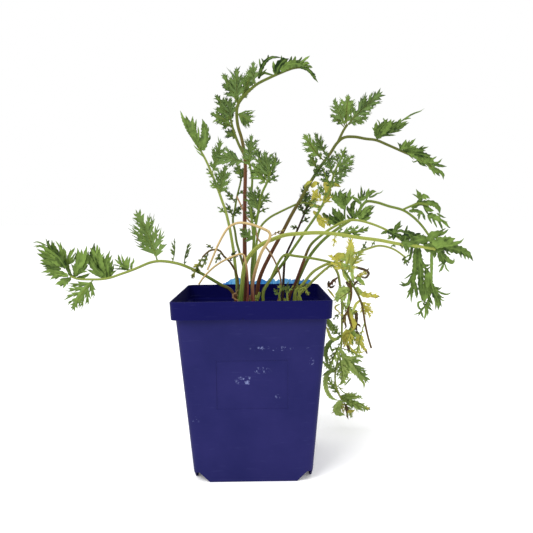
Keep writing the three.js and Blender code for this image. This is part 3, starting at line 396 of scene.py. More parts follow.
        [3.4, 18, 17, 66, 176.5, 60.5, 177, 58, 178, 55.5, 175.5], [2.2, 18, 17, 68, 179.5, 67, 182, 66, 185],
        [1.6, 18, 17, 62, 182.5, 61.5, 185.5, 62, 188],
        [3.7, 24, 24, 118, 187.5, 122, 190.5, 124, 194, 122.5, 198.5, 121, 201.5],
        [1.2, 24, 25, 123.5, 194, 121, 196.5, 118, 198], [1.5, 24, 23, 124, 195, 124.5, 197, 123.5, 199.5],
        [2.9, 24, 22, 124, 195, 127, 196.5, 129, 195.5, 131.5, 194.5],
        [1.5, 23, 22, 125.5, 195, 127.5, 194.5, 129, 193.5],
        [4.4, 25, 22, 122.5, 190.5, 127.5, 191, 133, 191, 136.5, 189, 138.5, 185, 138, 182.5],
        [3.7, 24, 22, 127, 189.5, 130, 186.5, 134.5, 185.5],
        [1.3, 24, 22, 126.5, 189, 128.5, 185.5, 130.5, 183, 133.5, 184.5],
        [1.5, 22, 21, 136.5, 183.5, 139, 182, 142, 180.5, 143.5, 180.5],
        [4.8, 24, 20, 130, 183, 133.5, 181, 138, 179, 141, 177],
        [1.6, 23, 21, 130, 181.5, 131.5, 178.5, 133, 175.5],
        [1.6, 22, 20, 133.5, 179.5, 135, 176.5, 137, 172.5],
        [1.8, 22, 20, 137.5, 178.5, 139.5, 175, 141, 171],
        [2.4, 21, 19, 140.5, 178, 143.5, 175.5, 145.5, 173.5],
        [1, 21, 19, 139, 179.5, 142.5, 177.5, 145, 177], [1, 20, 19, 144, 174, 147, 172.5],
        [2.9, 26, 25, 116, 185.5, 120.5, 185.5, 125, 184, 128, 181.5],
        [1.6, 25, 24, 124, 184, 123.5, 181, 123, 178.5], [1.8, 25, 24, 126.5, 183, 127, 181, 128, 178.5],
        [1.5, 25, 24, 125, 184, 122.5, 182.5, 122, 181.5],
    ],
    "frond_long_right": [
        [3.4, -60, -56, 121.5, 159.5, 121, 152, 121, 145, 119.5, 136, 118.5, 127, 118, 116],
        [1.9, -59, -57, 118.5, 160.5, 117.5, 153.5, 116.5, 150, 113.5, 147],
        [1.1, -58, -58, 117.5, 153, 115.5, 152.5, 114, 151],
        [1.1, -58, -56, 118.5, 139.5, 115.5, 137, 112.5, 135],
        [2.1, -58, -55, 118.5, 138, 116, 132, 112.5, 130.5, 108.5, 131.5],
        [1, -57, -56, 114, 131.5, 112, 132, 110, 133.5], [1.6, -57, -56, 118, 129, 116.5, 124.5, 114.5, 120],
        [1, -57, -56, 117.5, 127.5, 115, 125], [2.7, -59, -57, 119.5, 134.5, 121.5, 127, 122.5, 120],
        [4.1, -61, -60, 123.5, 158, 124, 147.5, 125, 138, 125.5, 127.5, 126.5, 117],
        [1.2, -60, -60, 123, 156, 124, 153, 125.5, 152],
        [1.2, -60, -60, 123.5, 154.5, 125, 150.5, 127.5, 149.5],
        [2.1, -61, -62, 124.5, 149, 128, 145, 132.5, 146],
        [1.5, -62, -62, 126, 146, 129.5, 142.5, 132.5, 144.5],
        [4.8, -63, -61, 129, 142.5, 130, 134.5, 129, 125.5, 127.5, 115.5],
        [1.5, -60, -58, 126, 118.5, 123.5, 117.5, 123.5, 114.5, 125, 112.5, 128, 113],
        [1.5, -60, -59, 127, 117, 128.5, 115, 126.5, 112.5],
        [1.2, -60, -58, 127.5, 114, 125, 110.5, 122, 109, 119.5, 108.5],
        [1.5, -60, -59, 127.5, 114, 125, 110.5, 123.5, 107],
        [1.3, -60, -59, 125.5, 111, 126.5, 108, 127.5, 105.5],
        [1.8, -60, -59, 129, 115.5, 129, 109.5, 128, 104],
        [1.3, -60, -59, 129, 115.5, 130.5, 111, 130.5, 107],
        [1.6, -61, -60, 129, 118, 131.5, 113.5, 134.5, 111],
        [1.5, -62, -61, 130, 119.5, 131.5, 116.5, 133, 114],
        [2.1, -62, -61, 130.5, 124, 132, 119.5, 134.5, 115.5],
        [1.9, -67, -64, 133, 158.5, 133, 147.5, 133, 138, 133.5, 130.5, 135, 126],
        [2.9, -67, -66, 133, 158, 135, 154.5, 135, 150.5],
        [4.8, -65, -62, 131, 140, 131, 133, 132, 127, 132, 121.5],
        [4, -64, -62, 133, 131.5, 135, 125, 138, 119, 138.5, 111.5],
        [1.6, -63, -62, 136.5, 124.5, 139, 119, 141, 113.5],
        [1.3, -63, -62, 136, 120.5, 136.5, 116, 136.5, 111.5],
        [1.3, -64, -62, 134.5, 129, 137.5, 127.5, 139, 127.5, 141, 129],
        [1, -64, -62, 135, 129, 137.5, 128.5, 139, 128.5],
        [1.3, -64, -62, 136, 127.5, 139.5, 125, 143.5, 123.5, 145.5, 123.5, 148.5, 125],
        [1, -63, -62, 138, 124.5, 140.5, 121.5, 143.5, 120.5],
        [1, -63, -62, 138.5, 123, 140.5, 119.5, 143.5, 118.5],
        [4.7, -68, -65, 139, 158, 140.5, 152.5, 142, 148.5, 142, 144.5],
        [1.1, -66, -65, 141.5, 147, 139.5, 145.5, 137.5, 144],
        [1.4, -66, -65, 142, 146, 140, 142.5, 138.5, 139.5], [1.3, -66, -65, 142, 146, 141, 143, 140, 140.5],
        [1.1, -66, -65, 143, 146, 144, 142.5, 146.5, 140], [1.5, -67, -66, 138.5, 157, 138.5, 152, 139, 147],
        [2.9, -67, -64, 141.5, 153.5, 144.5, 149.5, 147, 147.5, 149.5, 148, 149.5, 150.5],
        [1.3, -68, -68, 143, 158, 144.5, 154.5], [1.1, -68, -67, 143.5, 157, 145, 154, 147.5, 152.5],
        [6.6, -66, -70, 127.5, 159, 134, 158.5, 140, 158.5, 144.5, 159.5],
        [5.2, -69, -66, 139, 158.5, 146, 158, 152, 156.5, 156.5, 155, 161, 152, 164, 148],
        [1.3, -68, -67, 152.5, 156.5, 154.5, 153, 155, 150],
        [1.5, -68, -67, 155.5, 155, 157.5, 152, 158, 149], [1.3, -67, -66, 158, 153.5, 160, 151, 160.5, 149],
        [2.9, -70, -70, 135.5, 158.5, 142, 160, 148, 161, 153, 162, 155.5, 163.5, 157, 165.5],
        [5.5, -70, -71, 134, 160, 137.5, 163, 143, 163.5, 147, 164, 150.5, 165],
        [1.5, -70, -71, 139, 162.5, 141.5, 164.5, 143.5, 167.5],
        [1.3, -71, -71, 142, 163, 144.5, 164.5, 147, 166.5],
        [5.2, -68, -71, 131.5, 162.5, 133, 166.5, 137, 168.5, 142, 170],
        [1.6, -70, -71, 137.5, 167, 142, 169, 145.5, 172],
        [1.3, -70, -71, 137, 169, 140.5, 171, 143.5, 172.5],
        [1.9, -66, -66, 133, 158, 132.5, 162.5, 133, 166],
        [2.5, -64, -64, 127.5, 159.5, 128.5, 163, 131, 166], [2.2, -62, -62, 112.5, 161, 114, 158, 114, 155],
        [1.3, -61, -61, 114.5, 160.5, 116, 156.5, 116, 153.5],
        [1.5, -61, -61, 109.5, 160.5, 111, 159.5, 111, 157.5],
    ],
}

# The same for the leaves that fade, with the ripeness at the foot and at the tip before the places
FADED_STRAPS = {
    "frond_slanted": [
        [2.9, 20, 17, 0.7, 0.6, 41.5, 200.5, 40.5, 204.5, 42.5, 207, 45.5, 208],
        [3.7, 20, 17, 0.9, 1.1, 44, 203.5, 47, 206, 50.5, 206.5],
        [2.4, 20, 17, 1.1, 1.5, 49, 202, 46, 198, 44, 192.5],
        [4.4, 20, 17, 0.9, 1.1, 54, 208, 55.5, 203, 55.5, 197],
        [3.2, 20, 17, 0.6, 0.8, 55.5, 203, 61, 205, 66, 203.5],
        [5.2, 20, 17, 0.8, 1, 57, 203.5, 55, 196, 52.5, 190.5],
        [2.5, 20, 17, 0.7, 0.9, 52, 189, 47, 189.5, 42.5, 190],
        [2.9, 20, 17, 0.8, 0.9, 45.5, 186, 49.5, 182.5, 54, 178.5],
        [4.7, 20, 17, 0.9, 1.1, 49.5, 182.5, 51, 178, 54, 173],
        [3.4, 20, 17, 0.4, 0.6, 52.5, 184.5, 56.5, 179.5, 58, 174],
        [1.3, 20, 17, 0.9, 1.4, 49, 184.5, 50.5, 188, 54, 190.5],
    ],
    "frond_hanging_yellow": [
        [1.8, -17, -14, 2, 2, 75, 144.5, 80, 143.5, 84.5, 142, 86.5, 140, 85, 137, 82, 136.5, 80.5, 139.5],
        [1, -15, -15, 2, 2, 83.5, 142, 86, 142.5, 86.5, 144],
        [2.8, -18, -17, 0.35, 0.2, 74, 148.5, 74, 139.5, 75.5, 132],
        [2.4, -17, -17, 0.3, 0.5, 67.5, 144, 68.5, 138.5, 72, 132.5],
        [3.7, -16, -17, 2, 2, 70, 134, 72, 131.5, 75, 129.5],
        [1.3, -16, -15, 2, 2, 75, 129.5, 77, 133.5, 80, 134.5, 80.5, 132],
        [3.1, -16, -15, 0.3, 0.4, 77.5, 137, 80.5, 134, 84, 130.5],
        [2.1, -15, -14, 0.9, 0.3, 80.5, 120, 77, 117, 75.5, 113, 73.5, 109.5],
        [2.5, -14, -13, 0.3, 1.2, 72, 114.5, 73, 109.5, 75.5, 102.5],
        [4.8, -13, -13, 1, 1.5, 73.5, 107, 75, 102, 74, 96.5],
        [2.4, -12, -12, 2, 2, 77, 112.5, 77.5, 106.5, 77, 101, 78, 95],
        [1.6, -12, -12, 2, 2, 77, 102, 79.5, 101, 80.5, 99],
        [1.8, -13, -12, 1.2, 2, 69.5, 111, 68.5, 105, 69.5, 99.5, 67.5, 98],
        [1, -13, -13, 1.2, 1.2, 64.5, 109, 69.5, 108.5],
        [4.8, -12, -12, 0.7, 1, 70.5, 98, 69, 93.5, 69, 87.5],
        [4.8, -12, -12, 0.1, 0.3, 74, 100.5, 73.5, 93.5, 72.5, 86],
        [3.5, -12, -12, 0.3, 1, 75.5, 96.5, 80, 89, 84, 81.5],
        [1.8, -12, -12, 0.9, 2, 82.5, 84.5, 85, 80.5, 85.5, 78.5],
        [1.8, -11, -11, 0.2, 0.3, 77, 96.5, 81, 91.5, 83.5, 88],
        [1.5, -12, -12, 0.6, 0.7, 70.5, 88.5, 73.5, 83, 77, 80.5, 81.5, 80.5, 85, 82],
        [2.1, -12, -12, 1.5, 2, 69.5, 87.5, 71.5, 84, 72.5, 81],
        [3.5, -15, -14, 0.2, 1.1, 77, 129.5, 80.5, 125, 84.5, 123, 89.5, 122.5],
        [2.5, -14, -14, 1.2, 2, 87.5, 123, 91, 122.5, 95, 122.5],
        [4.8, -15, -15, 0.2, 0.1, 74, 129, 69, 127.5, 65, 125.5, 63, 121.5, 60, 119.5],
        [2.9, -15, -15, 0.2, 0.2, 72.5, 127.5, 72, 120.5, 70.5, 114],
        [5.2, -18, -18, 0.5, 1.1, 69.5, 150.5, 65, 153, 59, 151],
        [5.9, -18, -18, 0.4, 0.9, 71, 147, 72.5, 155.5, 74, 164],
        [4.4, -18, -18, 0.2, 0.4, 73.5, 144.5, 68, 145.5, 63.5, 147.5],
    ],
    "frond_hanging_green": [
        [1.9, 8, 10, 1.6, 2, 63.5, 137, 60, 134.5, 57.5, 131.5, 56, 132, 57, 134.5],
        [1.9, 9, 9, 2, 2, 57, 134.5, 56.5, 131.5, 58.5, 129.5, 62, 131.5],
        [1.3, 10, 10, 1, 1.2, 60, 133.5, 61.5, 135.5],
        [1.5, 12, 12, 0.7, 1.2, 56, 128.5, 58.5, 125.5, 61.5, 121],
        [1.3, 15, 15, 0.6, 1.5, 65, 117, 61.5, 115, 62, 113, 64.5, 111, 63.5, 108],
        [2.8, 36, 32, 0.3, 0.8, 66, 93.5, 62, 90.5, 58.5, 91.5, 56, 97, 54.5, 101.5],
        [2.8, 33, 31, 0.1, 0, 54.5, 106.5, 57.5, 100.5, 60.5, 95],
        [2.2, 33, 31, 0.1, 0, 55.5, 106.5, 58, 103.5, 60.5, 99.5],
        [3.7, 36, 40, 0.3, 0, 62, 91, 57.5, 88, 55, 83.5, 54.5, 78, 56.5, 71],
        [1.5, 38, 38, 0.2, 0.3, 57.5, 88, 58.5, 83, 60, 80],
        [1.3, 38, 38, 0.1, 0.4, 55.5, 78.5, 57, 75, 58, 72.5],
        [4.1, 51, 66, 0, 0, 62.5, 66.5, 58.5, 66.5, 55.5, 64, 54, 58, 55, 51.5, 59, 46, 65, 43.5],
        [1.3, 56, 56, 0, 0.3, 56, 62, 59.5, 61], [1.3, 58, 58, 0, 0.3, 56, 56.5, 60, 56],
        [2.9, 50, 48, 0.2, 0.2, 61.5, 66.5, 57.5, 69, 54, 72, 52, 74],
        [1.8, 50, 50, 0.2, 0.4, 57.5, 67, 54.5, 65, 51.5, 62.5],
        [3.2, 38, 38, 0, 0.2, 66, 82.5, 69, 77.5, 74, 76.5, 78.5, 77.5, 82, 76.5],
        [2.2, 39, 39, 0, 0.2, 70.5, 76.5, 75.5, 74.5, 79.5, 74.5, 82.5, 72.5],
        [5.2, 40, 42, 0, 0.1, 66.5, 80, 70.5, 72.5, 75.5, 66.5, 81, 61.5],
        [2.1, 42, 42, 0.1, 0.3, 77, 65.5, 81.5, 61.5, 86, 58],
        [2.2, 42, 42, 0.2, 0.6, 76.5, 65.5, 80.5, 60, 83, 56.5, 83, 52],
        [5.9, 40, 43, 0, 0, 69, 75.5, 69.5, 68.5, 67.5, 62, 66, 56.5],
        [2.2, 43, 44, 0, 0.2, 69, 62, 66.5, 57.5, 63, 55],
        [1.2, 43, 43, 0, 0.2, 73.5, 61, 70.5, 57.5, 68, 54.5],
        [0.9, 62, 62, 0.2, 0.6, 63.5, 55, 66, 53, 69, 52.5],
        [0.9, 62, 62, 0.2, 0.6, 64.5, 53.5, 68, 50, 70.5, 49, 73, 50.5],
        [3.1, 67, 67, 0, 0.1, 64.5, 46.5, 69.5, 48, 73.5, 48, 76.5, 48.5],
        [3.1, 68, 68, 0, 0.1, 66, 45, 72, 46, 77, 46, 81.5, 47],
        [3.8, 68, 68, 0, 0.4, 66.5, 44, 74, 43, 81, 40.5, 85.5, 38],
        [1.6, 68, 68, 0.6, 2, 84.5, 38.5, 86.5, 37.5, 88, 36.5],
        [2.7, 68, 68, 0, 0.3, 71, 42.5, 77, 39, 82.5, 35.5],
        [1.5, 68, 68, 0, 0.3, 69, 43.5, 72.5, 40, 75.5, 37.5],
        [6.6, 68, 70, 0, 0.2, 66, 44, 63, 39.5, 63.5, 35, 69, 32.5],
        [2.9, 69, 69, 0.9, 1.1, 70.5, 35.5, 73.5, 35.5, 76.5, 36.5],
        [2.4, 69, 69, 1.8, 2, 69, 41, 70.5, 36.5, 70.5, 32, 71.5, 29],
    ],
}

# Leaves of the plant:
# foot: where the stalk enters the soil, [x, y]
# radii: those of the solid stalk at its foot and its tip, and girth what they are multiplied by here
# blush: the stalk's colour at its foot and its tip (0 straw green, 0.25 green, 0.5 olive brown, 0.75 red
#   brown, 1 nearly black) and the place along it where one turns into the other
# tone: how light its leaf green is (0 deep, 1 light, 2 faded)
# ripe: for each leaflet, and then for the branch's, 0 green, 1 yellow or 2 brown and shrivelled
# style: its form among LEAF_FORM, where it isn't the usual one, and slot: the name of a finish
# route: the stalk in seen places
# leaflets: [place along the stalk 0-1, seen x and z of the tip, depth of the tip behind the root, width, turn
#   in degrees about its own rib]
# branch: a second stalk that leaves the first at a place along it, 0-1
FRONDS = {
    "frond_left_arch": {
        "foot": [-10, -4], "radii": [1.5, 0.8], "blush": [0.98, 0.1, 0.22], "tone": 0.62, "style": "lacy",
        "route": [
            [-15, 127.5, -5], [-24, 133, -6], [-35.5, 140, -7], [-45.5, 145, -8], [-54.5, 148.5, -9],
            [-67.5, 150.5, -10], [-75, 149.5, -11], [-82.5, 146.5, -12], [-90, 143.5, -13], [-97.5, 141, -13],
            [-105, 138.5, -14], [-112, 137.5, -14], [-119.5, 137.5, -15], [-128.5, 138, -15],
            [-134, 140, -16],
        ],
        "leaflets": [
            [0.58, -84.5, 186.5, -4, 23, 0], [0.51, -57, 166.5, 6, 9, 70], [0.45, -45.5, 163, -6, 9, 65],
            [0.89, -133, 115, -6, 20, 0],
        ],
    },
    "frond_upright_left": {
        "foot": [-11, 5], "radii": [1.5, 0.8], "blush": [0.55, 0.12, 0.1], "tone": 0.55,
        "route": [
            [-11, 132, 6], [-12, 143, 7], [-13, 154.5, 10], [-14.5, 165.5, 14], [-16.5, 177, 20],
            [-19, 187.5, 26], [-21.5, 195, 31], [-25.5, 206.5, 38], [-32, 222.5, 48], [-36.5, 231, 55],
            [-42.5, 240.5, 61], [-46, 247.5, 64], [-49.5, 255, 66],
        ],
        "leaflets": [
            [0.68, -22, 238, -4, 14, 10], [0.57, -18, 220, -5, 15.5, 0], [0.64, -32, 218, 5, 5, 30],
            [0.59, -30, 208.5, 5, 5, 20], [0.47, -24.5, 189.5, 4, 5, 20],
        ],
    },
    "frond_dark_back": {
        "foot": [-5, 12], "radii": [1.3, 0.8], "blush": [0.55, 0.35, 0.3], "tone": 0.2, "slot": "leaf_dark",
        "route": [
            [-5.5, 132, 13], [-6, 144.5, 15], [-8.5, 154.5, 19], [-11, 164, 24], [-12, 171.5, 28],
            [-13.5, 180, 33], [-12, 187.5, 38], [-10.5, 196, 43], [-8, 205.5, 49], [-7, 210.5, 52],
        ],
        "leaflets": [
            [0.99, -10.5, 221.5, 2, 9.5, 10], [0.81, -19, 202, 5, 6.5, 20], [0.87, -5, 202, -4, 5, 30],
            [0.7, -18.5, 192.5, 4, 6.5, 30], [0.71, -6.5, 191.5, -5, 6.5, 20], [0.97, -3.5, 218, -4, 6, 40],
        ],
    },
    "frond_tall": {
        "foot": [-5, -8], "radii": [1.9, 0.8], "girth": [0.9, 1], "blush": [0.8, 0.38, 0.58], "tone": 0.42,
        "style": "fan",
        "route": [
            [-5, 135.5, -9], [-5, 165.5, -9], [-4.5, 194.5, -8], [-4, 223.5, -6], [-6, 238, -5],
            [-9, 249, -4], [-9.5, 259.5, -4], [-8, 264.5, -4], [-2, 271.5, -6], [5, 277.5, -9],
            [13, 281.5, -12], [23.5, 286, -15], [32.5, 289, -18], [39, 289, -20], [43.5, 286.5, -21],
        ],
        "leaflets": [
            [0.73, -19, 284.5, 4, 12, 0], [0.73, -9, 289, -3, 14, 0], [0.74, 0.5, 287.5, 3, 12, 10],
            [0.7, 1.5, 250.5, -5, 14.5, 0], [0.54, -25, 226.5, 5, 12.5, 0], [0.81, 3, 293.5, -5, 9.5, 0],
        ],
        "branch": {
            "at": 0.56, "radii": [1.2, 0.8],
            "route": [[-8.5, 235, -1], [-12, 244.5, 1], [-14, 252.5, 3]],
            "leaflets": [
                [0.94, -24.5, 269.5, 4, 13.5, 0], [0.97, -14, 268, -3, 13, 0], [0.89, -28.5, 257, 4, 12, 10],
                [0.82, -22, 249.5, -3, 8, 20], [0.52, -18.5, 244.5, 3, 9.5, 0], [0.88, -17, 260, 3, 8, 20],
            ],
        },
    },
    "frond_centre": {
        "foot": [1, -9], "radii": [1.6, 0.8], "blush": [0.35, 0.22, 0.3], "tone": 0.4,
        "route": [
            [0, 132, -11], [0, 143, -12], [1, 154, -13], [2.5, 172.5, -15], [4, 180, -17], [5.5, 187, -20],
            [8, 199, -24], [12, 207.5, -27], [14.5, 215, -30],
        ],
        "leaflets": [
            [0.95, 10, 230, -3, 14, 0], [0.92, 1, 221.5, 4, 12, 0], [0.93, 20.5, 212, -4, 6.5, 30],
            [1, 18.5, 229, 4, 8, 40], [0.93, 4, 230.5, 5, 9, 10], [0.74, -1.5, 204, -4, 13.5, 0],
            [0.67, -2.5, 190, 4, 8, 20], [0.56, -8.5, 174, -5, 11, 0], [0.79, 4.5, 204.5, 3, 6.5, 40],
            [0.79, 13, 199.5, -5, 6.5, 20], [0.73, 13, 188.5, -4, 4.5, 30],
        ],
        "branch": {
            "at": 0.56, "radii": [1.1, 0.8],
            "route": [[0, 186, -17], [0.5, 200.5, -18], [1, 210.5, -19], [-1, 222, -20]],
            "leaflets": [
                [0.98, 1, 241.5, -4, 12.5, 0], [0.9, -5, 229.5, 4, 6.5, 30], [0.77, 7, 219, -4, 6.5, 20],
            ],
        },
    },
    "frond_slanted": {
        "foot": [-1, 8], "radii": [1.3, 0.8], "blush": [0.2, 0.15, 0.5], "ripe": [0.5],
        "route": [
            [0.5, 132, 9], [2.5, 149, 10], [4, 165, 12], [7, 175, 14], [13.5, 181.5, 17], [21, 185.5, 19],
            [28.5, 189, 21], [34.5, 191.5, 22], [41, 192, 22], [47.5, 189.5, 22],
        ],
        "leaflets": [[0.94, 51, 197.5, -3, 6.5, 10]],
    },
    "frond_upper_right": {
        "foot": [3, 11], "radii": [1.6, 0.8], "girth": [0.95, 1.1], "blush": [0.74, 0.42, 0.36],
        "style": "fan",
        "route": [
            [4.5, 132, 11], [7.5, 141.5, 11], [15, 156.5, 12], [22.5, 170, 13], [30, 184, 15],
            [36.5, 195, 17], [43, 206, 19], [50.5, 217.5, 21], [58, 227.5, 23], [63, 235, 25], [68, 239, 26],
            [75.5, 239.5, 27], [84, 238, 28], [91.5, 237, 29], [100, 233.5, 31], [109, 229.5, 33],
            [121, 224, 35], [132, 217.5, 37],
        ],
        "leaflets": [
            [0.58, 39.5, 242, 5, 12, 0], [0.6, 47.5, 242.5, -5, 9, 20], [0.54, 42, 227, 5, 9, 20],
            [0.5, 53, 221, -6, 7.5, 20],
        ],
        "branch": {
            "at": 0.66, "radii": [1.1, 0.8],
            "route": [[68, 244.5, 25], [70.5, 248, 25]],
            "leaflets": [
                [0.93, 95, 270.5, -4, 14.5, 0], [0.92, 71.5, 269.5, 4, 17, 0], [0.87, 61, 266, -4, 12, 0],
                [0.8, 58, 255.5, 5, 6, 20], [1, 85.5, 253, 5, 7.5, 20],
            ],
        },
    },
    "frond_right_inner": {
        "foot": [9, 5], "radii": [1.5, 0.8], "blush": [0.5, 0.2, 0.3], "tone": 0.45,
        "ripe": [0, 0, 0, 0, 0, 0, 1.1, 0.1, 0, 0.8, 1, 0], "style": "lacy",
        "route": [
            [8, 126.5, 4], [13.5, 135.5, 3], [20.5, 144.5, 3], [26.5, 152.5, 2], [33.5, 162.5, 2],
            [39.5, 171, 2], [44.5, 178, 3], [50.5, 187, 4], [54, 194, 5], [58.5, 204, 7], [60, 210, 8],
            [63, 218, 9], [66.5, 225, 10],
        ],
        "leaflets": [
            [0.83, 52, 218, 4, 9.5, 10], [0.89, 55, 229.5, -4, 9.5, 10], [0.99, 69.5, 232.5, 2, 8, 0],
            [0.94, 75.5, 226.5, -4, 9.5, 10], [0.88, 75.5, 222, 5, 9.5, 20], [0.84, 69.5, 212, -4, 7.5, 20],
            [0.75, 44.5, 201.5, -4, 6.5, 20], [0.7, 44.5, 193.5, 4, 6, 30], [0.78, 48.5, 207, -5, 6.5, 30],
            [0.73, 59.5, 197, -5, 6, 20], [0.66, 57, 175, -5, 7.5, 20], [0.95, 61, 230, 5, 6.5, 40],
        ],
    },
    "frond_right_arch": {
        "foot": [31, 9], "radii": [1.4, 0.8], "girth": [0.9, 1.1], "blush": [0.45, 0.18, 0.3],
        "style": "lacy",
        "route": [
            [33, 131.5, 10], [37.5, 142.5, 11], [42, 151.5, 12], [47.5, 159, 13], [55.5, 167, 14],
            [63, 172.5, 15], [70.5, 177.5, 17], [77, 182, 18], [80.5, 188, 19], [84.5, 192.5, 20],
            [91.5, 192, 21], [101, 189, 23], [111.5, 186, 25], [119, 181, 27], [125.5, 174.5, 28],
            [131, 167, 30],
        ],
        "leaflets": [],
        "branch": {
            "at": 0.83, "radii": [0.9, 0.8],
            "route": [[117.5, 189, 24], [123.5, 191, 23], [130, 189.5, 22]],
            "leaflets": [],
        },
    },
    "frond_dark_short": {
        "foot": [22, 9], "radii": [1.3, 0.8], "blush": [1, 0.98, 0.3], "tone": 0.15, "slot": "leaf_dark",
        "route": [
            [23, 128, 12], [23.5, 139, 15], [25, 152.5, 19], [30.5, 165, 23], [35.5, 176, 27],
            [38.5, 183, 29], [41, 190, 31],
        ],
        "leaflets": [
            [0.98, 39, 205, -3, 9.5, 10], [0.94, 45.5, 195.5, 4, 6.5, 20], [0.92, 34.5, 193, 4, 6, 30],
            [0.8, 28.5, 174.5, -3, 5, 20], [0.85, 43, 181.5, -4, 5, 20], [0.9, 44.5, 189, -4, 5, 30],
        ],
    },
    "frond_brown_arch": {
        "foot": [25, -3], "radii": [1.4, 0.8], "blush": [0.85, 0.04, 0.45], "tone": 0.4,
        "route": [
            [28.5, 125.5, -3], [32.5, 134, -3], [38, 148.5, -3], [43.5, 161, -5], [50.5, 167.5, -7],
            [60, 174, -11], [69.5, 178.5, -16], [77.5, 179, -20], [87.5, 176.5, -26], [97.5, 172.5, -32],
            [104.5, 168.5, -35], [111, 163.5, -37],
        ],
        "leaflets": [],
    },
    "frond_long_right": {
        # The stalk's foot is olive brown as painted shade, low in the pot
        "foot": [-9, -15], "radii": [1.8, 0.8], "girth": [0.9, 1.15], "blush": [0.5, 0, 0.14], "tone": 0.6,
        "ripe": [0, 1], "style": "fingered",
        "route": [
            [-7.5, 130, -15], [-6.5, 139.5, -15], [-4.5, 148.5, -16], [0, 155.5, -18], [7.5, 162, -20],
            [14.5, 165, -22], [24.5, 168.5, -26], [35.5, 169.5, -30], [50.5, 170, -36], [65, 168.5, -43],
            [80, 166, -49], [94.5, 164, -55], [109.5, 161, -60], [124.5, 159, -65], [136, 157, -68],
        ],
        "leaflets": [[0.62, 86, 172.5, -4, 9, 0], [0.65, 60, 159.5, 4, 5, 10]],
    },
    "frond_low_right": {
        "foot": [35, 3], "radii": [1.3, 0.8], "blush": [0.2, 0, 0.05],
        "route": [
            [34.5, 123.5, 4], [39, 128.5, 6], [46.5, 136, 10], [55, 143.5, 16], [65, 150.5, 22],
            [73.5, 153.5, 27], [87.5, 158.5, 34], [94.5, 160, 38], [104.5, 157.5, 41], [114, 151, 44],
        ],
        "leaflets": [
            [0.98, 115.5, 145, -4, 6, 0], [0.67, 84.5, 163.5, -4, 4.5, 0], [0.74, 91.5, 164.5, 5, 3.5, 20],
            [0.88, 107.5, 162, 4, 3.5, 30],
        ],
    },
    "frond_hanging_green": {
        "foot": [32, -6], "radii": [1.3, 0.8], "blush": [0.3, 0.04, 0.05], "tone": 1.5,
        "ripe": [1.9, 0.2, 0.4, 0.1, 0.2, 0, 0, 0, 0.3, 0, 0, 0, 0.1, 0.8, 0.4], "style": "fingered",
        "route": [
            [32.5, 127, -6], [37, 131.5, -6], [44.5, 140.5, -5], [49.5, 144, -3], [57.5, 147, 0],
            [63, 141, 6], [65, 131.5, 12], [66.5, 118, 20], [66.5, 101.5, 30], [66, 86, 38], [63.5, 75, 45],
            [61.5, 65.5, 51], [62, 55, 60], [66, 45, 68],
        ],
        "leaflets": [
            [0.38, 56, 129, -4, 6, 20], [0.48, 72.5, 111, -4, 6.5, 10], [0.54, 60, 105, 4, 6, 30],
            [0.66, 54.5, 105, 4, 9.5, 0], [0.67, 57.5, 69.5, -4, 9.5, 0], [0.71, 82.5, 76, -4, 6.5, 10],
            [0.72, 86, 58.5, 4, 12.5, 0], [0.73, 69, 56.5, -3, 13.5, 0], [0.82, 51, 73.5, 4, 8, 10],
            [0.84, 65, 72, -5, 6, 20], [0.99, 54.5, 63, 3, 9, 0], [0.98, 81.5, 46.5, -4, 8, 0],
            [0.99, 87.5, 36.5, 2, 9.5, 0], [1, 62, 33, 3, 12.5, 0], [1, 74, 30.5, 1, 8, 10],
        ],
    },
    "frond_hanging_yellow": {
        "foot": [9, -6], "radii": [1.2, 0.8], "blush": [0.12, 0.62, 0.7], "tone": 1.6,
        "ripe": [1.2, 1, 0.6, 1.3, 2, 1.1, 0.9, 0.8, 1, 2, 1.5, 0.2, 0.4, 0.5, 1.8, 2, 1.1, 0.7, 0.3],
        "style": "fingered", "slot": "leaf_yellow",
        "route": [
            [8.5, 126.5, -8], [13.5, 135.5, -10], [21, 150.5, -13], [24.5, 154, -15], [32.5, 153, -17],
            [43, 151.5, -18], [55, 149, -18], [61.5, 147, -18], [67.5, 142.5, -18], [75.5, 129.5, -17],
            [81, 117.5, -15], [84, 101, -13], [86, 92, -12], [88.5, 83.5, -12],
        ],
        "leaflets": [
            [0.64, 58.5, 153, -3, 8, 20], [0.64, 72.5, 165.5, 3, 9, 10], [0.65, 82, 157, -4, 11, 10],
            [0.68, 86.5, 140.5, 4, 7.5, 30], [0.68, 81.5, 131, -3, 5, 20], [0.73, 94, 122.5, -3, 5, 10],
            [0.78, 88, 107, 4, 9.5, 10], [0.88, 78, 79, -4, 6, 20], [0.6, 69, 154, 5, 6.5, 30],
            [0.71, 69.5, 128, 4, 5, 20], [0.58, 55, 142.5, 4, 4.5, 30],
        ],
        "branch": {
            "at": 0.68, "radii": [1, 0.8],
            "route": [[73.5, 123.5, -15], [71, 111.5, -14], [74, 99, -13]],
            "leaflets": [
                [0.23, 61.5, 118, -3, 9, 0], [0.26, 63.5, 130, 3, 7.5, 10], [0.52, 78.5, 106.5, 4, 7.5, 10],
                [0.59, 66.5, 102, -4, 6.5, 10], [0.87, 79.5, 95, 3, 6.5, 20], [1, 67.5, 84.5, -3, 9, 0],
                [1, 84.5, 82, 4, 7.5, 10], [0.98, 74, 85.5, 3, 6.5, 20],
            ],
        },
    },
    "frond_curled": {
        "foot": [-15, -1], "radii": [1.1, 0.7], "blush": [0.5, 0.6, 0.5], "tone": 0.1,
        "ripe": [0.3, 0.4, 0.4, 0.2, 0.3],
        "route": [
            [-10.5, 130, -1], [-11, 139, -1], [-16, 149, -3], [-20.5, 153.5, -5], [-24, 158, -7],
            [-30.5, 158, -9], [-36.5, 153, -11],
        ],
        "leaflets": [
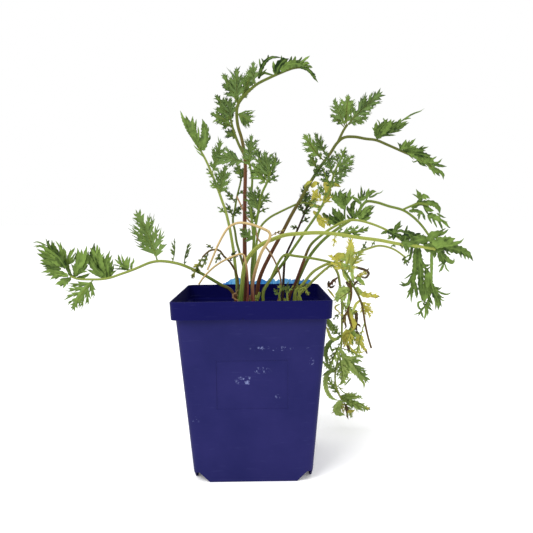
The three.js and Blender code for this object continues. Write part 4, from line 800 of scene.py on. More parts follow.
            [0.79, -27, 148.5, -3, 5, 20], [0.92, -37, 145, 4, 5, 20], [0.99, -44.5, 137.5, -3, 6, 10],
            [0.67, -11.5, 157.5, -4, 6, 20], [0.88, -33.5, 162.5, 4, 4.5, 30],
        ],
    },
    "dry_stalk_arched": {
        "foot": [2, -22], "radii": [1.1, 0.7], "girth": [1.3, 0.9], "blush": [1, 0.1, 0.3], "ripe": [1.7],
        "slot": "dry_straw",
        "route": [
            [0.5, 132, -24], [4, 147, -27], [7.5, 156.5, -29], [13.5, 166.5, -31], [13.5, 170.5, -31],
            [7.5, 174, -31], [-3, 177.5, -31], [-10, 178, -30], [-16.5, 175, -30], [-24, 163.5, -29],
            [-30, 150, -28], [-33, 143.5, -28],
        ],
        "leaflets": [[0.52, 24.5, 172.5, -2, 3, 20]],
    },
    "dry_stalk_bent": {
        "foot": [-4, -24], "radii": [0.9, 0.7], "blush": [1, 0, 0.5], "slot": "dry_straw",
        "route": [
            [-3, 132, -25], [-4.5, 149, -26], [-6.5, 155, -25], [-16, 152.5, -24], [-27, 146.5, -21],
            [-35.5, 138.5, -18], [-39.5, 133, -16],
        ],
        "leaflets": [],
    },
    "dry_stalk_thin": {
        "foot": [17, 0], "radii": [0.8, 0.65], "blush": [0.6, 0.5, 0.5], "slot": "dry_brown",
        "route": [
            [21.5, 131.5, -1], [18.5, 146, -2], [12, 158, -2], [4.5, 166.5, -2], [2.5, 175.5, -1],
            [-2.5, 180.5, 0], [-5.5, 186.5, 1], [-10.5, 197.5, 2],
        ],
        "leaflets": [],
    },
    "young_leaf_fork": {
        "foot": [27, -13], "radii": [1, 0.8], "blush": [0.05, 0.1, 0.5], "ripe": [0.4, 0.4, 0.4],
        "route": [[26, 122.5, -14], [26, 126.5, -14]],
        "leaflets": [
            [0.95, 23, 131.5, -2, 3.5, 10], [0.95, 30.5, 131, 2, 3.5, 10], [0.97, 26.5, 134, -1, 3.5, 30],
        ],
    },
    "young_leaf_curved": {
        "foot": [39, -12], "radii": [1, 0.8], "blush": [0.15, 0.1, 0.5], "ripe": [0.6, 0.5, 0.6],
        "route": [[36, 121, -13], [34.5, 126.5, -13], [37.5, 129.5, -13], [40, 128, -13]],
        "leaflets": [
            [0.85, 33, 132.5, -2, 3.5, 10], [0.94, 42, 132.5, 2, 3.5, 20], [1, 42, 124, -2, 3.5, 10],
        ],
    },
    "young_leaf_curly": {
        "foot": [19, -10], "radii": [1, 0.8], "blush": [0.2, 0.15, 0.5], "ripe": [0.3, 0.4, 0.4],
        "route": [[20.5, 120.5, -10], [20, 125, -10], [22, 128.5, -10]],
        "leaflets": [[0.85, 16, 129, -2, 4.5, 10], [0.95, 20, 133, 2, 4.5, 20], [1, 26.5, 130, -2, 4.5, 10]],
    },
    "dry_curl": {
        "foot": [-15, -12], "radii": [0.9, 0.7], "blush": [0.7, 0.6, 0.5], "ripe": [1.8], "slot": "dry_brown",
        "route": [
            [-10.5, 121, -12], [-13.5, 121.5, -12], [-14.5, 124.5, -12], [-12.5, 126, -11], [-11, 124, -10],
        ],
        "leaflets": [[0.92, -10, 129, 3, 3, 20]],
    },
}

# Curves and surfaces

SPAN_STEPS = 12
FEWEST_POINTS = 6
# The direction that sides are square to is near the line of sight, but no stalk lies along it
SIGHT_LINE = [0.05, 1.0, 0.03]


def unit(vectors):
    """Vectors divided by their lengths."""
    return vectors / np.maximum(np.linalg.norm(vectors, axis=-1, keepdims=True), 1e-9)


def placed(rows):
    """Seen places as real points: each slides along its line of sight until it is at its depth."""
    rows = np.asarray(rows, float)
    on_plane = np.stack([rows[:, 0], np.zeros(len(rows)), rows[:, 1]], 1)
    return EYE + (on_plane - EYE) * ((rows[:, 2:3] - EYE[1]) / -EYE[1])


def circle(sides):
    """Angles of that many points all round."""
    return np.arange(sides) * 2 * math.pi / sides


def spline(knots, spacing):
    """A centripetal Catmull-Rom curve through the knots: in each span a cubic between its two knots, whose
    end slopes come from the neighbours over the square roots of the spans. The result is spaced evenly."""
    knots = np.asarray(knots, float)
    around = np.vstack([2 * knots[0] - knots[1], knots, 2 * knots[-1] - knots[-2]])
    steps = np.sqrt(np.linalg.norm(np.diff(around, axis=0), axis=1))[:, None]
    a, b, c, d = around[:-3], around[1:-2], around[2:-1], around[3:]
    before, here, after = steps[:-2], steps[1:-1], steps[2:]
    leave = ((b - a) / before - (c - a) / (before + here) + (c - b) / here) * here
    arrive = ((c - b) / here - (d - b) / (here + after) + (d - c) / after) * here
    t = np.linspace(0, 1, SPAN_STEPS, endpoint=False)[None, :, None]
    cubic = (
        b[:, None]
        + leave[:, None] * t
        + (3 * (c - b) - 2 * leave - arrive)[:, None] * t**2
        + (2 * (b - c) + leave + arrive)[:, None] * t**3
    )
    fine = np.vstack([cubic.reshape(-1, 3), knots[-1]])
    along = np.r_[0, np.cumsum(np.linalg.norm(np.diff(fine, axis=0), axis=1))]
    count = max(FEWEST_POINTS, int(round(along[-1] / spacing)))
    even = np.linspace(0, along[-1], count)
    return np.stack([np.interp(even, along, fine[:, k]) for k in range(3)], 1)


def square_to(path):
    """Two unit vectors square to a path at each of its points, from its direction and the line of sight."""
    ahead = unit(np.gradient(path, axis=0))
    side = unit(np.cross(ahead, SIGHT_LINE))
    return side, np.cross(ahead, side)


def into_scene(piece):
    bpy.context.scene.collection.objects.link(piece)
    return piece


class Skin:
    """Collects closed skins, each a ring of points carried along a path, and fills one mesh with them."""

    def __init__(self):
        self.points = []
        self.faces = []
        self.caps = []
        self.values = {"tone": [], "ripe": [], "margin": [], "under": [], "blush": []}
        self.maps = []
        self.materials = []
        self.cap_materials = []
        self.count = 0

    def add(self, rings, material, across, **values):
        """rings is (skins, rings, points of a ring, 3), each ring turning right-handed about its path.
        across is each ring point's place across the surface; along is worked out evenly. Both ends get a
        flat face."""
        shape = rings.shape[:3]
        skins, length, around = shape
        start = self.count + np.arange(skins * length * around).reshape(shape)
        turned = np.roll(start, -1, 2)
        quads = np.stack([start[:, :-1], turned[:, :-1], turned[:, 1:], start[:, 1:]], -1)
        quads = quads.reshape(-1, 4)
        self.points.append(rings.reshape(-1, 3))
        self.faces.append(quads)
        self.caps.append(start[:, 0, ::-1])
        self.caps.append(start[:, -1])
        self.count += skins * length * around
        along = np.linspace(0, 1, length)[None, :, None]
        place = np.stack([np.broadcast_to(along, shape), np.broadcast_to(across, shape)], -1)
        self.maps.append(place.reshape(-1, 2))
        self.materials.append(np.full(len(quads), material))
        self.cap_materials += [np.full(skins, material)] * 2
        for name, store in self.values.items():
            store.append(np.broadcast_to(values.get(name, 0.0), shape).reshape(-1))

    def fill(self, name, materials, sharp=40):
        """One mesh object at the origin, in metres, with its surface map and its values stored on the points.
        Edges that bend by more than the degrees of sharp stay sharp."""
        caps = [cap.tolist() for cap in self.caps]
        faces = np.vstack(self.faces).tolist() + [corner for cap in caps for corner in cap]
        mesh = bpy.data.meshes.new(name)
        mesh.from_pydata(np.vstack(self.points) * MM, [], faces)
        slots = np.concatenate(self.materials + self.cap_materials)
        mesh.polygons.foreach_set("material_index", slots.astype(np.int32))
        mesh.polygons.foreach_set("use_smooth", np.ones(len(faces), bool))
        for key, store in self.values.items():
            layer = mesh.attributes.new(key, "FLOAT", "POINT")
            layer.data.foreach_set("value", np.concatenate(store).astype(np.float32))
        corners = np.zeros(len(mesh.loops), np.int32)
        mesh.loops.foreach_get("vertex_index", corners)
        place = np.vstack(self.maps)[corners]
        surface = mesh.uv_layers.new(name="Surface")
        surface.data.foreach_set("uv", place.reshape(-1).astype(np.float32))
        for material in materials:
            mesh.materials.append(material)
        mesh.set_sharp_from_angle(angle=math.radians(sharp))
        mesh.update()
        return into_scene(bpy.data.objects.new(name, mesh))


def finished(piece, node):
    """The piece rides on the plant's one body and stands for the solid node."""
    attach(piece, "root")
    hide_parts(node)


# Leaves


def stalk_skin(skin, path, radii, blush, tone, flare, girth):
    """A ridged tube: the radius falls evenly from foot to tip, shallow ridges run along it as a cosine round
    it, and the foot widens by flare as a bell curve. girth multiplies the radius, with a value for foot and
    tip."""
    side, up = square_to(path)
    share = np.linspace(0, 1, len(path))
    radius = (radii[0] + (radii[1] - radii[0]) * share) * (girth[0] + (girth[1] - girth[0]) * share)
    radius = radius * (1 + flare * np.exp(-((share * FLARE_FALL) ** 2)))
    angle = circle(STALK_SIDES)
    ridged = 1 + RIDGE_DEPTH * np.cos(STALK_RIDGES * angle)
    reach = radius[:, None, None] * ridged[None, :, None]
    ring = np.cos(angle)[None, :, None] * side[:, None] + np.sin(angle)[None, :, None] * up[:, None]
    rings = (path[:, None] + reach * ring)[None]
    turned = np.clip((share - blush[2]) / COLOUR_TURN + 0.5, 0, 1)
    colour = blush[0] + (blush[1] - blush[0]) * turned * turned * (3 - 2 * turned)
    half = STALK_SIDES // 2
    across = np.abs(np.arange(STALK_SIDES) - half) / half
    skin.add(rings, 1, across, tone=tone, blush=colour[None, :, None])


def blade_skin(skin, rings, tone, ripe, margin):
    """Adds blades whose rings have the rows of BLADE_ROWS. margin is how near a point is to the edge."""
    under = (ROW_HEIGHTS < 0).astype(float)
    skin.add(rings, 0, BLADE_ROWS * 0.5 + 0.5, tone=tone, ripe=ripe, margin=margin, under=under)


def leaflet_ribs(rng, path, rows):
    """Root, length and directions of each leaflet. Its root is a place on the stalk and its tip a seen
    place. Its upper side faces the eye, turned about the rib by the row's angle, and looks up."""
    knots = np.clip(rows[:, 0], 0, 1) * (len(path) - 1)
    root = np.stack([np.interp(knots, np.arange(len(path)), path[:, k]) for k in range(3)], 1)
    tip = placed(np.stack([rows[:, 1], rows[:, 2], root[:, 1] + rows[:, 3]], 1))
    tip = tip + (tip - root) * TIP_REACH
    ahead = unit(tip - root)
    sight = unit(EYE - root)
    face = unit(sight - ahead * np.sum(sight * ahead, 1, keepdims=True))
    turn = np.radians(rows[:, 5:6])
    face = face * np.cos(turn) + np.cross(ahead, face) * np.sin(turn)
    up = face * np.where(face[:, 2:3] < 0, -1, 1)
    return {
        "root": root[:, None],
        "ahead": ahead[:, None],
        "up": up[:, None],
        "side": np.cross(up, ahead)[:, None],
        "length": np.linalg.norm(tip - root, axis=1)[:, None],
        "sway": rng.uniform(-RIB_SWAY, RIB_SWAY, (len(rows), 1)),
    }


def rib_at(leaf, share):
    """Points of the leaflets' ribs and the three directions there: the rib is straight, plus a bow upward
    and a sway sideways that are both largest in the middle and nothing at the ends."""
    bow = leaf["length"] * BLADE_ARCH
    sway = leaf["length"] * leaf["sway"]
    hump = 4 * share * (1 - share)
    slope = 4 * (1 - 2 * share)
    points = (
        leaf["root"]
        + leaf["ahead"] * (leaf["length"] * share)[..., None]
        + leaf["up"] * (bow * hump)[..., None]
        + leaf["side"] * (sway * hump)[..., None]
    )
    ahead = unit(
        leaf["ahead"]
        + leaf["up"] * (BLADE_ARCH * slope)[..., None]
        + leaf["side"] * (leaf["sway"] * slope)[..., None]
    )
    up = unit(leaf["up"] - ahead * np.sum(leaf["up"] * ahead, -1, keepdims=True))
    return points, ahead, up, np.cross(up, ahead)


def rib_skin(skin, leaf, tones, ripe, blush):
    """Ribs of the leaflets: round at the foot, thinner towards the tip and flattened sideways into the
    blade."""
    share = np.broadcast_to(np.linspace(0, RIB_END, RIB_STEPS), (len(tones), RIB_STEPS))
    points, _, lifted, side = rib_at(leaf, share)
    radius = (RIB_RADIUS + RIB_GROWTH * leaf["length"]) * (1 - RIB_TAPER * share)
    wing = 1 + RIB_WING * np.clip((share - 0.2) * 3, 0, 1)
    angle = circle(RIB_SIDES)
    ring = (
        (wing[..., None] * np.cos(angle))[..., None] * side[:, :, None]
        + np.sin(angle)[:, None] * lifted[:, :, None]
    )
    rings = points[:, :, None] + radius[..., None, None] * ring
    half = RIB_SIDES // 2
    across = np.abs(np.arange(RIB_SIDES) - half) / half
    reddened = np.interp(ripe, [0, 1, 1.4, 2], [max(blush, 0.2), 0.05, 0.1, 0.95])
    skin.add(rings, 1, across, tone=tones[:, None, None], blush=reddened[:, None, None])


def envelope(share, power):
    """Half width of the leaflet's outline along its rib: half a sine wave over a power of the share, closing
    at the tip. A larger power moves the widest place from the middle towards the tip, as in a fan."""
    return np.sin(math.pi * np.clip(share / OUTLINE_END, OUTLINE_START, 1) ** power)


def core_skin(skin, leaf, share, half, power, tones, ripe):
    """The blade along each rib, between the feet of the lobes: a thin lens across, folded along the rib,
    whose width is a share of the leaflet's outline that shrinks to nothing at the tip."""
    points, _, lifted, side = rib_at(leaf, share)
    out = (half[:, None] * envelope(share, power) * (1 - share**CORE_TAPER))[..., None] * BLADE_ROWS
    high = ROW_HEIGHTS * CORE_THICKNESS / 2 - BLADE_FOLD * np.abs(out)
    rings = points[:, :, None] + out[..., None] * side[:, :, None] + high[..., None] * lifted[:, :, None]
    blade_skin(skin, rings, tones[:, None, None], ripe[:, None, None], np.abs(BLADE_ROWS) * 0.5)


def reach_of(at, angle, half, length, power):
    """Length of each lobe so that its tip ends on the outline, found by going half the way there a few
    times."""
    reach = 0.5 * half
    for _ in range(8):
        tip = at + reach * np.cos(angle) / length
        reach = 0.5 * reach + 0.5 * half * envelope(tip, power) / np.sin(angle)
    return reach


def tooth_outline(rng, lobes, teeth, notch, wedge):
    """Edge of a lobe as (along, out) for each column, and the middle line beside it. It widens from a narrow
    foot like a wedge, and its teeth stand round an arc up to the tip, each with a near corner, a point and a
    notch behind it. Random draws shift and lengthen the teeth and run some out into threads."""
    step = math.radians(90 / (teeth + 0.6))
    shift = rng.uniform(-TOOTH_SHIFT, TOOTH_SHIFT, (lobes, teeth))
    turn = step * (teeth - np.arange(teeth) + shift)
    tall = rng.uniform(*TOOTH_LENGTHS, (lobes, teeth))
    tall = tall * np.where(rng.uniform(0, 1, (lobes, teeth)) < THREAD_CHANCE, THREAD_REACH, 1)
    near_turn, near_radius = NEAR_CORNER
    angle = np.stack([turn + near_turn * step, turn, turn - NOTCH_TURN * step], -1).reshape(lobes, -1)
    radius = np.stack([np.minimum(tall, 1) * near_radius, tall, np.full_like(tall, notch)], -1)
    radius = radius.reshape(lobes, -1)
    along = wedge + (1 - wedge) * radius * np.cos(angle)
    out = radius * np.sin(angle)
    middle = np.maximum.accumulate(along - TOOTH_LEAN * out, 1)
    foot = np.zeros((lobes, 1))
    shoulder = np.maximum(middle[:, -1:] + 0.03, 0.9)
    columns = [
        (foot, foot + 0.55 * wedge, along, shoulder, foot + 1),
        (foot + 0.2, foot + 0.42, out, foot + 0.4 * notch / teeth, foot + 0.02),
        (foot, foot + 0.3 * wedge, middle, shoulder, foot + 1),
    ]
    return [np.concatenate(parts, 1) for parts in columns]


def lobe_skin(skin, rng, lobe, teeth, notch, wedge):
    """Toothed lobes, each a surface of two parameters: along the lobe in columns and across it in rows,
    straight from its middle line to its toothed edge. The rows fold down beside the middle, the whole curls
    down towards the tip and turns about its length, and a thin lens of leaf lies between its faces."""
    count = len(lobe["root"])
    if not count:
        return
    edge, out, middle = tooth_outline(rng, count, teeth, notch, wedge)
    other, other_out, _ = tooth_outline(rng, count, teeth, notch, wedge)
    row = BLADE_ROWS[None, None]
    left = row > 0
    reach = np.where(left, edge[..., None], other[..., None])
    width = np.where(left, out[..., None], other_out[..., None])
    along = middle[..., None] + np.abs(row) * (reach - middle[..., None])
    each = {key: value[:, None, None] for key, value in lobe.items()}
    across = row * width * (each["width"] / 2)
    thick = each["thick"] * (LOBE_EDGE + (1 - LOBE_EDGE) * np.sqrt(np.clip(1 - along, 0, 1)))
    lift = (
        -(LOBE_FOLD + WILT_FOLD * each["wilt"]) * np.abs(across)
        - each["curl"] * each["length"] * along**2
        + each["wave"] * each["length"] * np.sin(along * 7 + 3 * row)
        + ROW_HEIGHTS[None, None] * thick / 2
    )
    twist = each["twist"] * along
    flat = across * np.cos(twist) - lift * np.sin(twist)
    high = across * np.sin(twist) + lift * np.cos(twist)
    rings = (
        each["root"]
        + each["ahead"] * (along * each["length"])[..., None]
        + each["side"] * flat[..., None]
        + each["up"] * high[..., None]
    )
    margin = np.clip(np.abs(row) * (0.2 + 0.5 * width) + along**4 * 0.6, 0, 1)
    blade_skin(skin, rings, each["tone"], each["ripe"], margin)


def lobe_order(pairs):
    """For each lobe its leaflet, its hand (1 left, -1 right, 0 for the end lobe) and its step from 0 at the
    first pair to 1 at the end lobe. The left lobe of a pair stands a little further along than the right
    one."""
    which = np.repeat(np.arange(len(pairs)), 2 * pairs)
    first = np.cumsum(2 * pairs) - 2 * pairs
    number = np.arange(len(which)) - first[which]
    hand = np.where(number % 2, -1.0, 1.0)
    step = (number // 2 + np.where(hand > 0, 0.0, PAIR_SHIFT)) / (pairs[which] + PAIR_SHIFT)
    which = np.r_[which, np.arange(len(pairs))]
    return which, np.r_[hand, np.zeros(len(pairs))], np.r_[step, np.ones(len(pairs))]


def lobes_on(rng, leaf, widths, form, bare, tones, ripe, thick):
    """The lobes of the leaflets: pairs that lean forward more and more towards the tip, and an end lobe. They
    reach to the outline and are no wider than the room between them, and ripe ones curl, twist and shrink."""
    fullness, lobe_width, _, power = form[:4]
    length = leaf["length"][:, 0]
    pairs = 2 + np.sum(length[:, None] >= np.array(MORE_LOBES_FROM), 1)
    which, hand, step = lobe_order(pairs)
    count = len(which)
    bare = bare[which]
    length = length[which]
    at = bare + (END_LOBE_FROM - bare) * step
    chosen = {key: value[which] for key, value in leaf.items()}
    points, forward, lifted, side = (part[:, 0] for part in rib_at(chosen, at[:, None]))
    lean = LOBE_ANGLES[0] + (LOBE_ANGLES[1] - LOBE_ANGLES[0]) * step
    angle = np.radians(lean + rng.uniform(-ANGLE_SPREAD, ANGLE_SPREAD, count))
    half = widths[which] / 2 * fullness
    wilt = np.clip(ripe[which] - WILT_FROM, 0, 1)
    reach = reach_of(at, angle, half, length, power) * rng.uniform(0.88, 1.1, count)
    room = length * (END_LOBE_FROM - bare) / (pairs[which] + PAIR_SHIFT) * np.sin(angle)
    wide = np.minimum(lobe_width * reach, LOBE_CROWDING * room)
    end = hand == 0
    reach = np.where(end, (1 - at) * length * END_LOBE_REACH, reach)
    wide = np.where(end, END_LOBE_WIDTH * reach, wide) * rng.uniform(0.9, 1.12, count) * (1 - 0.5 * wilt)
    angle = angle * np.abs(hand)
    outward = forward * np.cos(angle)[:, None] + side * (hand * np.sin(angle))[:, None]
    droop = BLADE_FOLD * np.abs(hand) + rng.uniform(-0.12, 0.12, count) + 0.4 * wilt
    outward = unit(outward - lifted * droop[:, None])
    lifted = unit(lifted - outward * np.sum(lifted * outward, 1, keepdims=True))
    tilt = rng.uniform(-0.3, 0.3, count) * (1 + 2 * wilt)
    side = np.cross(lifted, outward)
    up = lifted * np.cos(tilt)[:, None] + side * np.sin(tilt)[:, None]
    return {
        "root": points,
        "ahead": outward,
        "up": up,
        "side": np.cross(up, outward),
        "length": reach,
        "width": wide,
        "curl": rng.uniform(-0.02, 0.22, count) + 0.5 * wilt,
        "twist": rng.uniform(-0.35, 0.35, count) * (1 + 3 * wilt),
        "wave": rng.uniform(0.0, 0.025, count) * (1 + 2 * wilt),
        "thick": np.full(count, thick),
        "wilt": wilt,
        "tone": np.clip(tones[which] + rng.uniform(-0.15, 0.15, count), 0, 2),
        "ripe": np.clip(ripe[which] + rng.uniform(-0.15, 0.15, count), 0, 2),
    }


def leaflet_skin(skin, rng, path, rows, tone, ripeness, blush, form, thick):
    """Leaflets of one stalk. Each has a rib with a bare foot, a narrow blade along it, and toothed lobes. The
    number of pairs of lobes and of teeth follows their lengths."""
    if not rows:
        return
    rows = np.array(rows, float)
    leaf = leaflet_ribs(rng, path, rows)
    ripe = np.array(ripeness[: len(rows)] + [0.0] * (len(rows) - len(ripeness)))
    tones = np.clip(tone + rng.uniform(-TONE_SPREAD, TONE_SPREAD, len(rows)), 0, 2)
    rib_skin(skin, leaf, tones, ripe, blush)
    core, power, most_teeth, notch, wedge = form[2:]
    widths = rows[:, 4]
    bare = np.interp(leaf["length"][:, 0], BARE_LENGTHS, BARE_SHARE)
    blade = bare[:, None] + (BLADE_END - bare[:, None]) * np.linspace(0, 1, RIB_STEPS)
    core_skin(skin, leaf, blade, widths / 2 * core, power, tones, ripe)
    lobe = lobes_on(rng, leaf, widths, form, bare, tones, ripe, thick)
    teeth = np.minimum(1 + np.sum(lobe["length"][:, None] >= np.array(MORE_TEETH_FROM), 1), most_teeth)
    for size in range(1, most_teeth + 1):
        same = {key: value[teeth == size] for key, value in lobe.items()}
        lobe_skin(skin, rng, same, size, notch, wedge)


def strap_skin(skin, rng, rows, tone):
    """Blades that bend or curl: a thin lens carried along a curve, widest before its middle, with a pointed
    tip and sharp teeth on both edges that lean to the tip. Its roll about the curve goes from side to side
    by a sine."""
    for width, near, far, first, last, *flat in rows:
        places = np.reshape(flat, (-1, 2))
        depth = np.linspace(near, far, len(places))
        path = spline(placed(np.column_stack([places, depth])), STRAP_SPACING)
        share = np.linspace(0, 1, len(path))
        side, up = square_to(path)
        roll = STRAP_ROLL * np.sin(share * rng.uniform(3, 6) + rng.uniform(0, 6))[:, None]
        side, up = side * np.cos(roll) + up * np.sin(roll), up * np.cos(roll) - side * np.sin(roll)
        half = width / 2 * (0.5 + 0.55 * np.sin(math.pi * share**0.7))
        half = half * np.clip((1.02 - share) * 4, 0.08, 1)
        number = share[:, None] * len(path) * STRAP_SPACING / TOOTH_PITCH
        saw = (number + np.where(BLADE_ROWS > 0, 0.5, 0) + rng.uniform(0, 1)) % 1
        out = half[:, None] * BLADE_ROWS * (1 + TOOTH_DEPTH * (saw - 0.5) * min(width / TOOTH_PITCH, 1))
        high = ROW_HEIGHTS * CORE_THICKNESS / 2 + STRAP_FOLD * np.abs(out)
        rings = path[:, None] + out[..., None] * side[:, None] + high[..., None] * up[:, None]
        ripe = first + (last - first) * share
        shade = np.clip(tone + rng.uniform(-STRAP_TONE_SPREAD, STRAP_TONE_SPREAD), 0, 2)
        margin = np.abs(BLADE_ROWS) * (0.5 + 0.5 * share[None, :, None] ** 2)
        blade_skin(skin, rings[None], shade, ripe[None, :, None], margin)


def grow(name, seed, thick):
    """One leaf of the plant: its stalk, the leaflets on it and, where it has one, its branch with its own."""
    rng = np.random.default_rng(seed)
    skin = Skin()
    frond = FRONDS[name]
    foot = [[*frond["foot"], SOIL_TOP - STALK_DEPTH], [*frond["foot"], SOIL_TOP + STALK_RISE]]
    path = spline(np.vstack([foot, placed(frond["route"])]), STALK_SPACING)
    blush = frond["blush"]
    tip_blush = blush[1]
    tone = frond.get("tone", USUAL_TONE)
    ripe = frond.get("ripe", [])
    form = LEAF_FORM[frond.get("style", "usual")]
    girth = frond.get("girth", USUAL_GIRTH)
    stalk_skin(skin, path, frond["radii"], blush, tone, FOOT_FLARE, girth)
    leaflet_skin(skin, rng, path, frond["leaflets"], tone, ripe, tip_blush, form, thick)
    if "branch" in frond:
        branch = frond["branch"]
        start = path[int(round(branch["at"] * (len(path) - 1)))]
        shoot = spline(np.vstack([start, placed(branch["route"])]), STALK_SPACING)
        stalk_skin(skin, shoot, branch["radii"], [tip_blush, tip_blush, 0.5], tone, 0, girth)
        left = ripe[len(frond["leaflets"]):]
        leaflet_skin(skin, rng, shoot, branch["leaflets"], tone, left, tip_blush, form, thick)
    green = [[*row[:3], *GREEN_RIPENESS, *row[3:]] for row in STRAPS.get(name, [])]
    strap_skin(skin, rng, green + FADED_STRAPS.get(name, []), tone)
    return skin


# Materials


class Shade:
    """A value in a material's node tree. Sums and products of values become Math nodes."""

    def __init__(self, tree, socket):
        self.tree = tree
        self.socket = socket

    def node(self, kind, settings=None, sockets=None, out=0):
        """Any node: its settings first, then the values or links of its sockets. Gives its output."""
        made = self.tree.nodes.new(kind)
        for key, value in (settings or {}).items():
            if key == "stops":
                ramp = made.color_ramp
                while len(ramp.elements) < len(value):
                    ramp.elements.new(0.5)
                for element, (place, colour) in zip(ramp.elements, value):
                    element.position = place
                    element.color = colour
            else:
                setattr(made, key, value)
        for key, value in (sockets or {}).items():
            if isinstance(value, Shade):
                self.tree.links.new(value.socket, made.inputs[key])
            else:
                made.inputs[key].default_value = value
        return Shade(self.tree, made.outputs[out])

    def maths(self, operation, *values, clamp=False):
        sockets = dict(enumerate(values))
        return self.node("ShaderNodeMath", {"operation": operation, "use_clamp": clamp}, sockets)

    def __add__(self, other):
        return self.maths("ADD", self, other)

    __radd__ = __add__

    def __sub__(self, other):
        return self.maths("SUBTRACT", self, other)

    def __rsub__(self, other):
        return self.maths("SUBTRACT", other, self)

    def __mul__(self, other):
        return self.maths("MULTIPLY", self, other)

    __rmul__ = __mul__

    def clipped(self):
        return self.maths("ADD", self, 0.0, clamp=True)

    def absolute(self):
        return self.maths("ABSOLUTE", self)

    def larger(self, other):
        return self.maths("MAXIMUM", self, other)

    def root(self):
        return self.maths("SQRT", self)

    def cosine(self):
        return self.maths("COSINE", self)

    def between(self, low, high):
        """0 below low, 1 above high and a smooth step between them."""
        sockets = {"Value": self, "From Min": low, "From Max": high}
        return self.node("ShaderNodeMapRange", {"interpolation_type": "SMOOTHSTEP"}, sockets)

    def ramp(self, stops):
        return self.node("ShaderNodeValToRGB", {"stops": stops}, {"Fac": self})

    def mixed(self, first, second):
        """first where this value is 0 and second where it is 1. A colour of the settings is made linear."""
        ends = [end if isinstance(end, Shade) else linear(end) for end in (first, second)]
        return self.node("ShaderNodeMix", {"data_type": "RGBA"}, {0: self, 6: ends[0], 7: ends[1]}, 2)

    def noise(self, scale, detail=3.0, rough=0.55):
        """Noise at these coordinates, with that many patches per unit."""
        sockets = {"Vector": self, "Scale": scale, "Detail": detail, "Roughness": rough}
        return self.node("ShaderNodeTexNoise", None, sockets)

    def streaks(self, scales, detail, rough=0.55):
        """Noise whose patches are stretched: each axis of the coordinates has its own scale."""
        place = self.node("ShaderNodeMapping", None, {"Vector": self, "Scale": scales})
        return place.noise(1.0, detail, rough)

    def stored(self, name):
        """A value stored on the mesh's points."""
        return self.node("ShaderNodeAttribute", {"attribute_name": name}, out=2)

    def surface(self):
        """The piece's own map, with the place along the surface and the place across it."""
        return self.node("ShaderNodeUVMap", {"uv_map": "Surface"})

    def across(self):
        """The second of these coordinates."""
        return self.node("ShaderNodeSeparateXYZ", None, {"Vector": self}, 1)


def linear(colour):
    """A colour given as it looks on a screen, 0-1 for each of red, green and blue, as linear light."""
    share = np.array(colour, float)
    low = share / 12.92
    high = ((share + 0.055) / 1.055) ** 2.4
    return (*np.where(share <= 0.04045, low, high).tolist(), 1.0)


def new_material(name, specular=0.3):
    """A material, its node tree as a value to start from, and the object's own coordinates in metres."""
    material = bpy.data.materials.new(name)
    material.use_nodes = True
    start = Shade(material.node_tree, None)
    start.tree.nodes["Principled BSDF"].inputs["Specular IOR Level"].default_value = specular
    return material, start, start.node("ShaderNodeTexCoord", out=3)


def link_shader(start, colour, roughness, height=None, depth=None, strength=None):
    """Links colour, roughness and, through a bump of that depth in metres, the height map to the shader."""
    values = {"Base Color": colour, "Roughness": roughness}
    if height:
        sockets = {"Height": height, "Distance": depth, "Strength": strength}
        values["Normal"] = start.node("ShaderNodeBump", None, sockets)
    shader = start.tree.nodes["Principled BSDF"]
    for name, value in values.items():
        start.tree.links.new(value.socket, shader.inputs[name])


def leaf_material(settings):
    """Leaf green by tone, paler below, darker at the teeth, with a light middle vein, turning yellow, then
    brown."""
    material, start, place = new_material("leaf", 0.12)
    under = start.stored("under")
    mottle = place.noise(260)
    fine = place.noise(1400)
    shade = start.stored("tone") + (mottle - 0.5) * 1.6
    colour = shade.clipped().mixed(settings.deep_green, settings.light_green)
    colour = shade.between(1.0, 2.0).mixed(colour, settings.faded_green)
    colour = (under * 0.8).mixed(colour, settings.under_green)
    from_middle = (start.surface().across() - 0.5).absolute()
    vein = 1 - from_middle.between(0.03, 0.12)
    colour = (vein * 0.5).mixed(colour, settings.vein_green)
    colour = (start.stored("margin").between(0.75, 1.0) * 0.5).mixed(colour, settings.tooth_green)
    ageing = start.stored("ripe") + (mottle - 0.5) * 0.9
    colour = ageing.between(0.25, 1.0).mixed(colour, settings.ripe_yellow)
    colour = ageing.between(1.25, 1.75).mixed(colour, settings.dead_brown)
    colour = (ageing.between(1.6, 2.1) * fine.between(0.4, 0.6)).mixed(colour, settings.dead_dark)
    roughness = 0.42 + mottle * 0.22 + under * 0.15
    link_shader(start, colour, roughness, fine * 0.6 + vein * 0.8 + mottle * 0.5, 0.00012, 0.35)
    return material


def stalk_material(settings):
    """Stalks: the blush value picks the colour, with painted highlights on the ridges and painted
    shade in the furrows between them, fine streaks along the stalk and speckles."""
    material, start, place = new_material("stalk", 0.12)
    blush = start.stored("blush")
    surface = start.surface()
    streak = surface.streaks((9.0, 14.0, 1.0), 4.0)
    spots = place.noise(700)
    colours = [
        linear(settings.stalk_straw), linear(settings.stalk_green), linear(settings.stalk_olive),
        linear(settings.stalk_red), linear(settings.stalk_dark),
    ]
    stops = list(zip(np.linspace(0, 1, len(colours)).tolist(), colours))
    colour = (blush + (streak - 0.5) * 0.35).clipped().ramp(stops)
    ridge = (surface.across() * (2 * STALK_RIDGES * math.pi)).cosine()
    # Painted highlight along the ridges, fainter on darker stalks
    colour = (ridge.between(0.2, 1.0) * (0.42 - blush * 0.34)).mixed(colour, settings.stalk_highlight)
    # Painted shade in the furrows between the ridges
    colour = ((1 - ridge.between(-1.0, -0.1)) * 0.45).mixed(colour, settings.stalk_dark)
    colour = (spots.between(0.62, 0.75) * 0.35).mixed(colour, settings.stalk_dark)
    link_shader(start, colour, 0.4 + spots * 0.25, ridge * 0.4 + streak, 0.00015, 0.4)
    return material


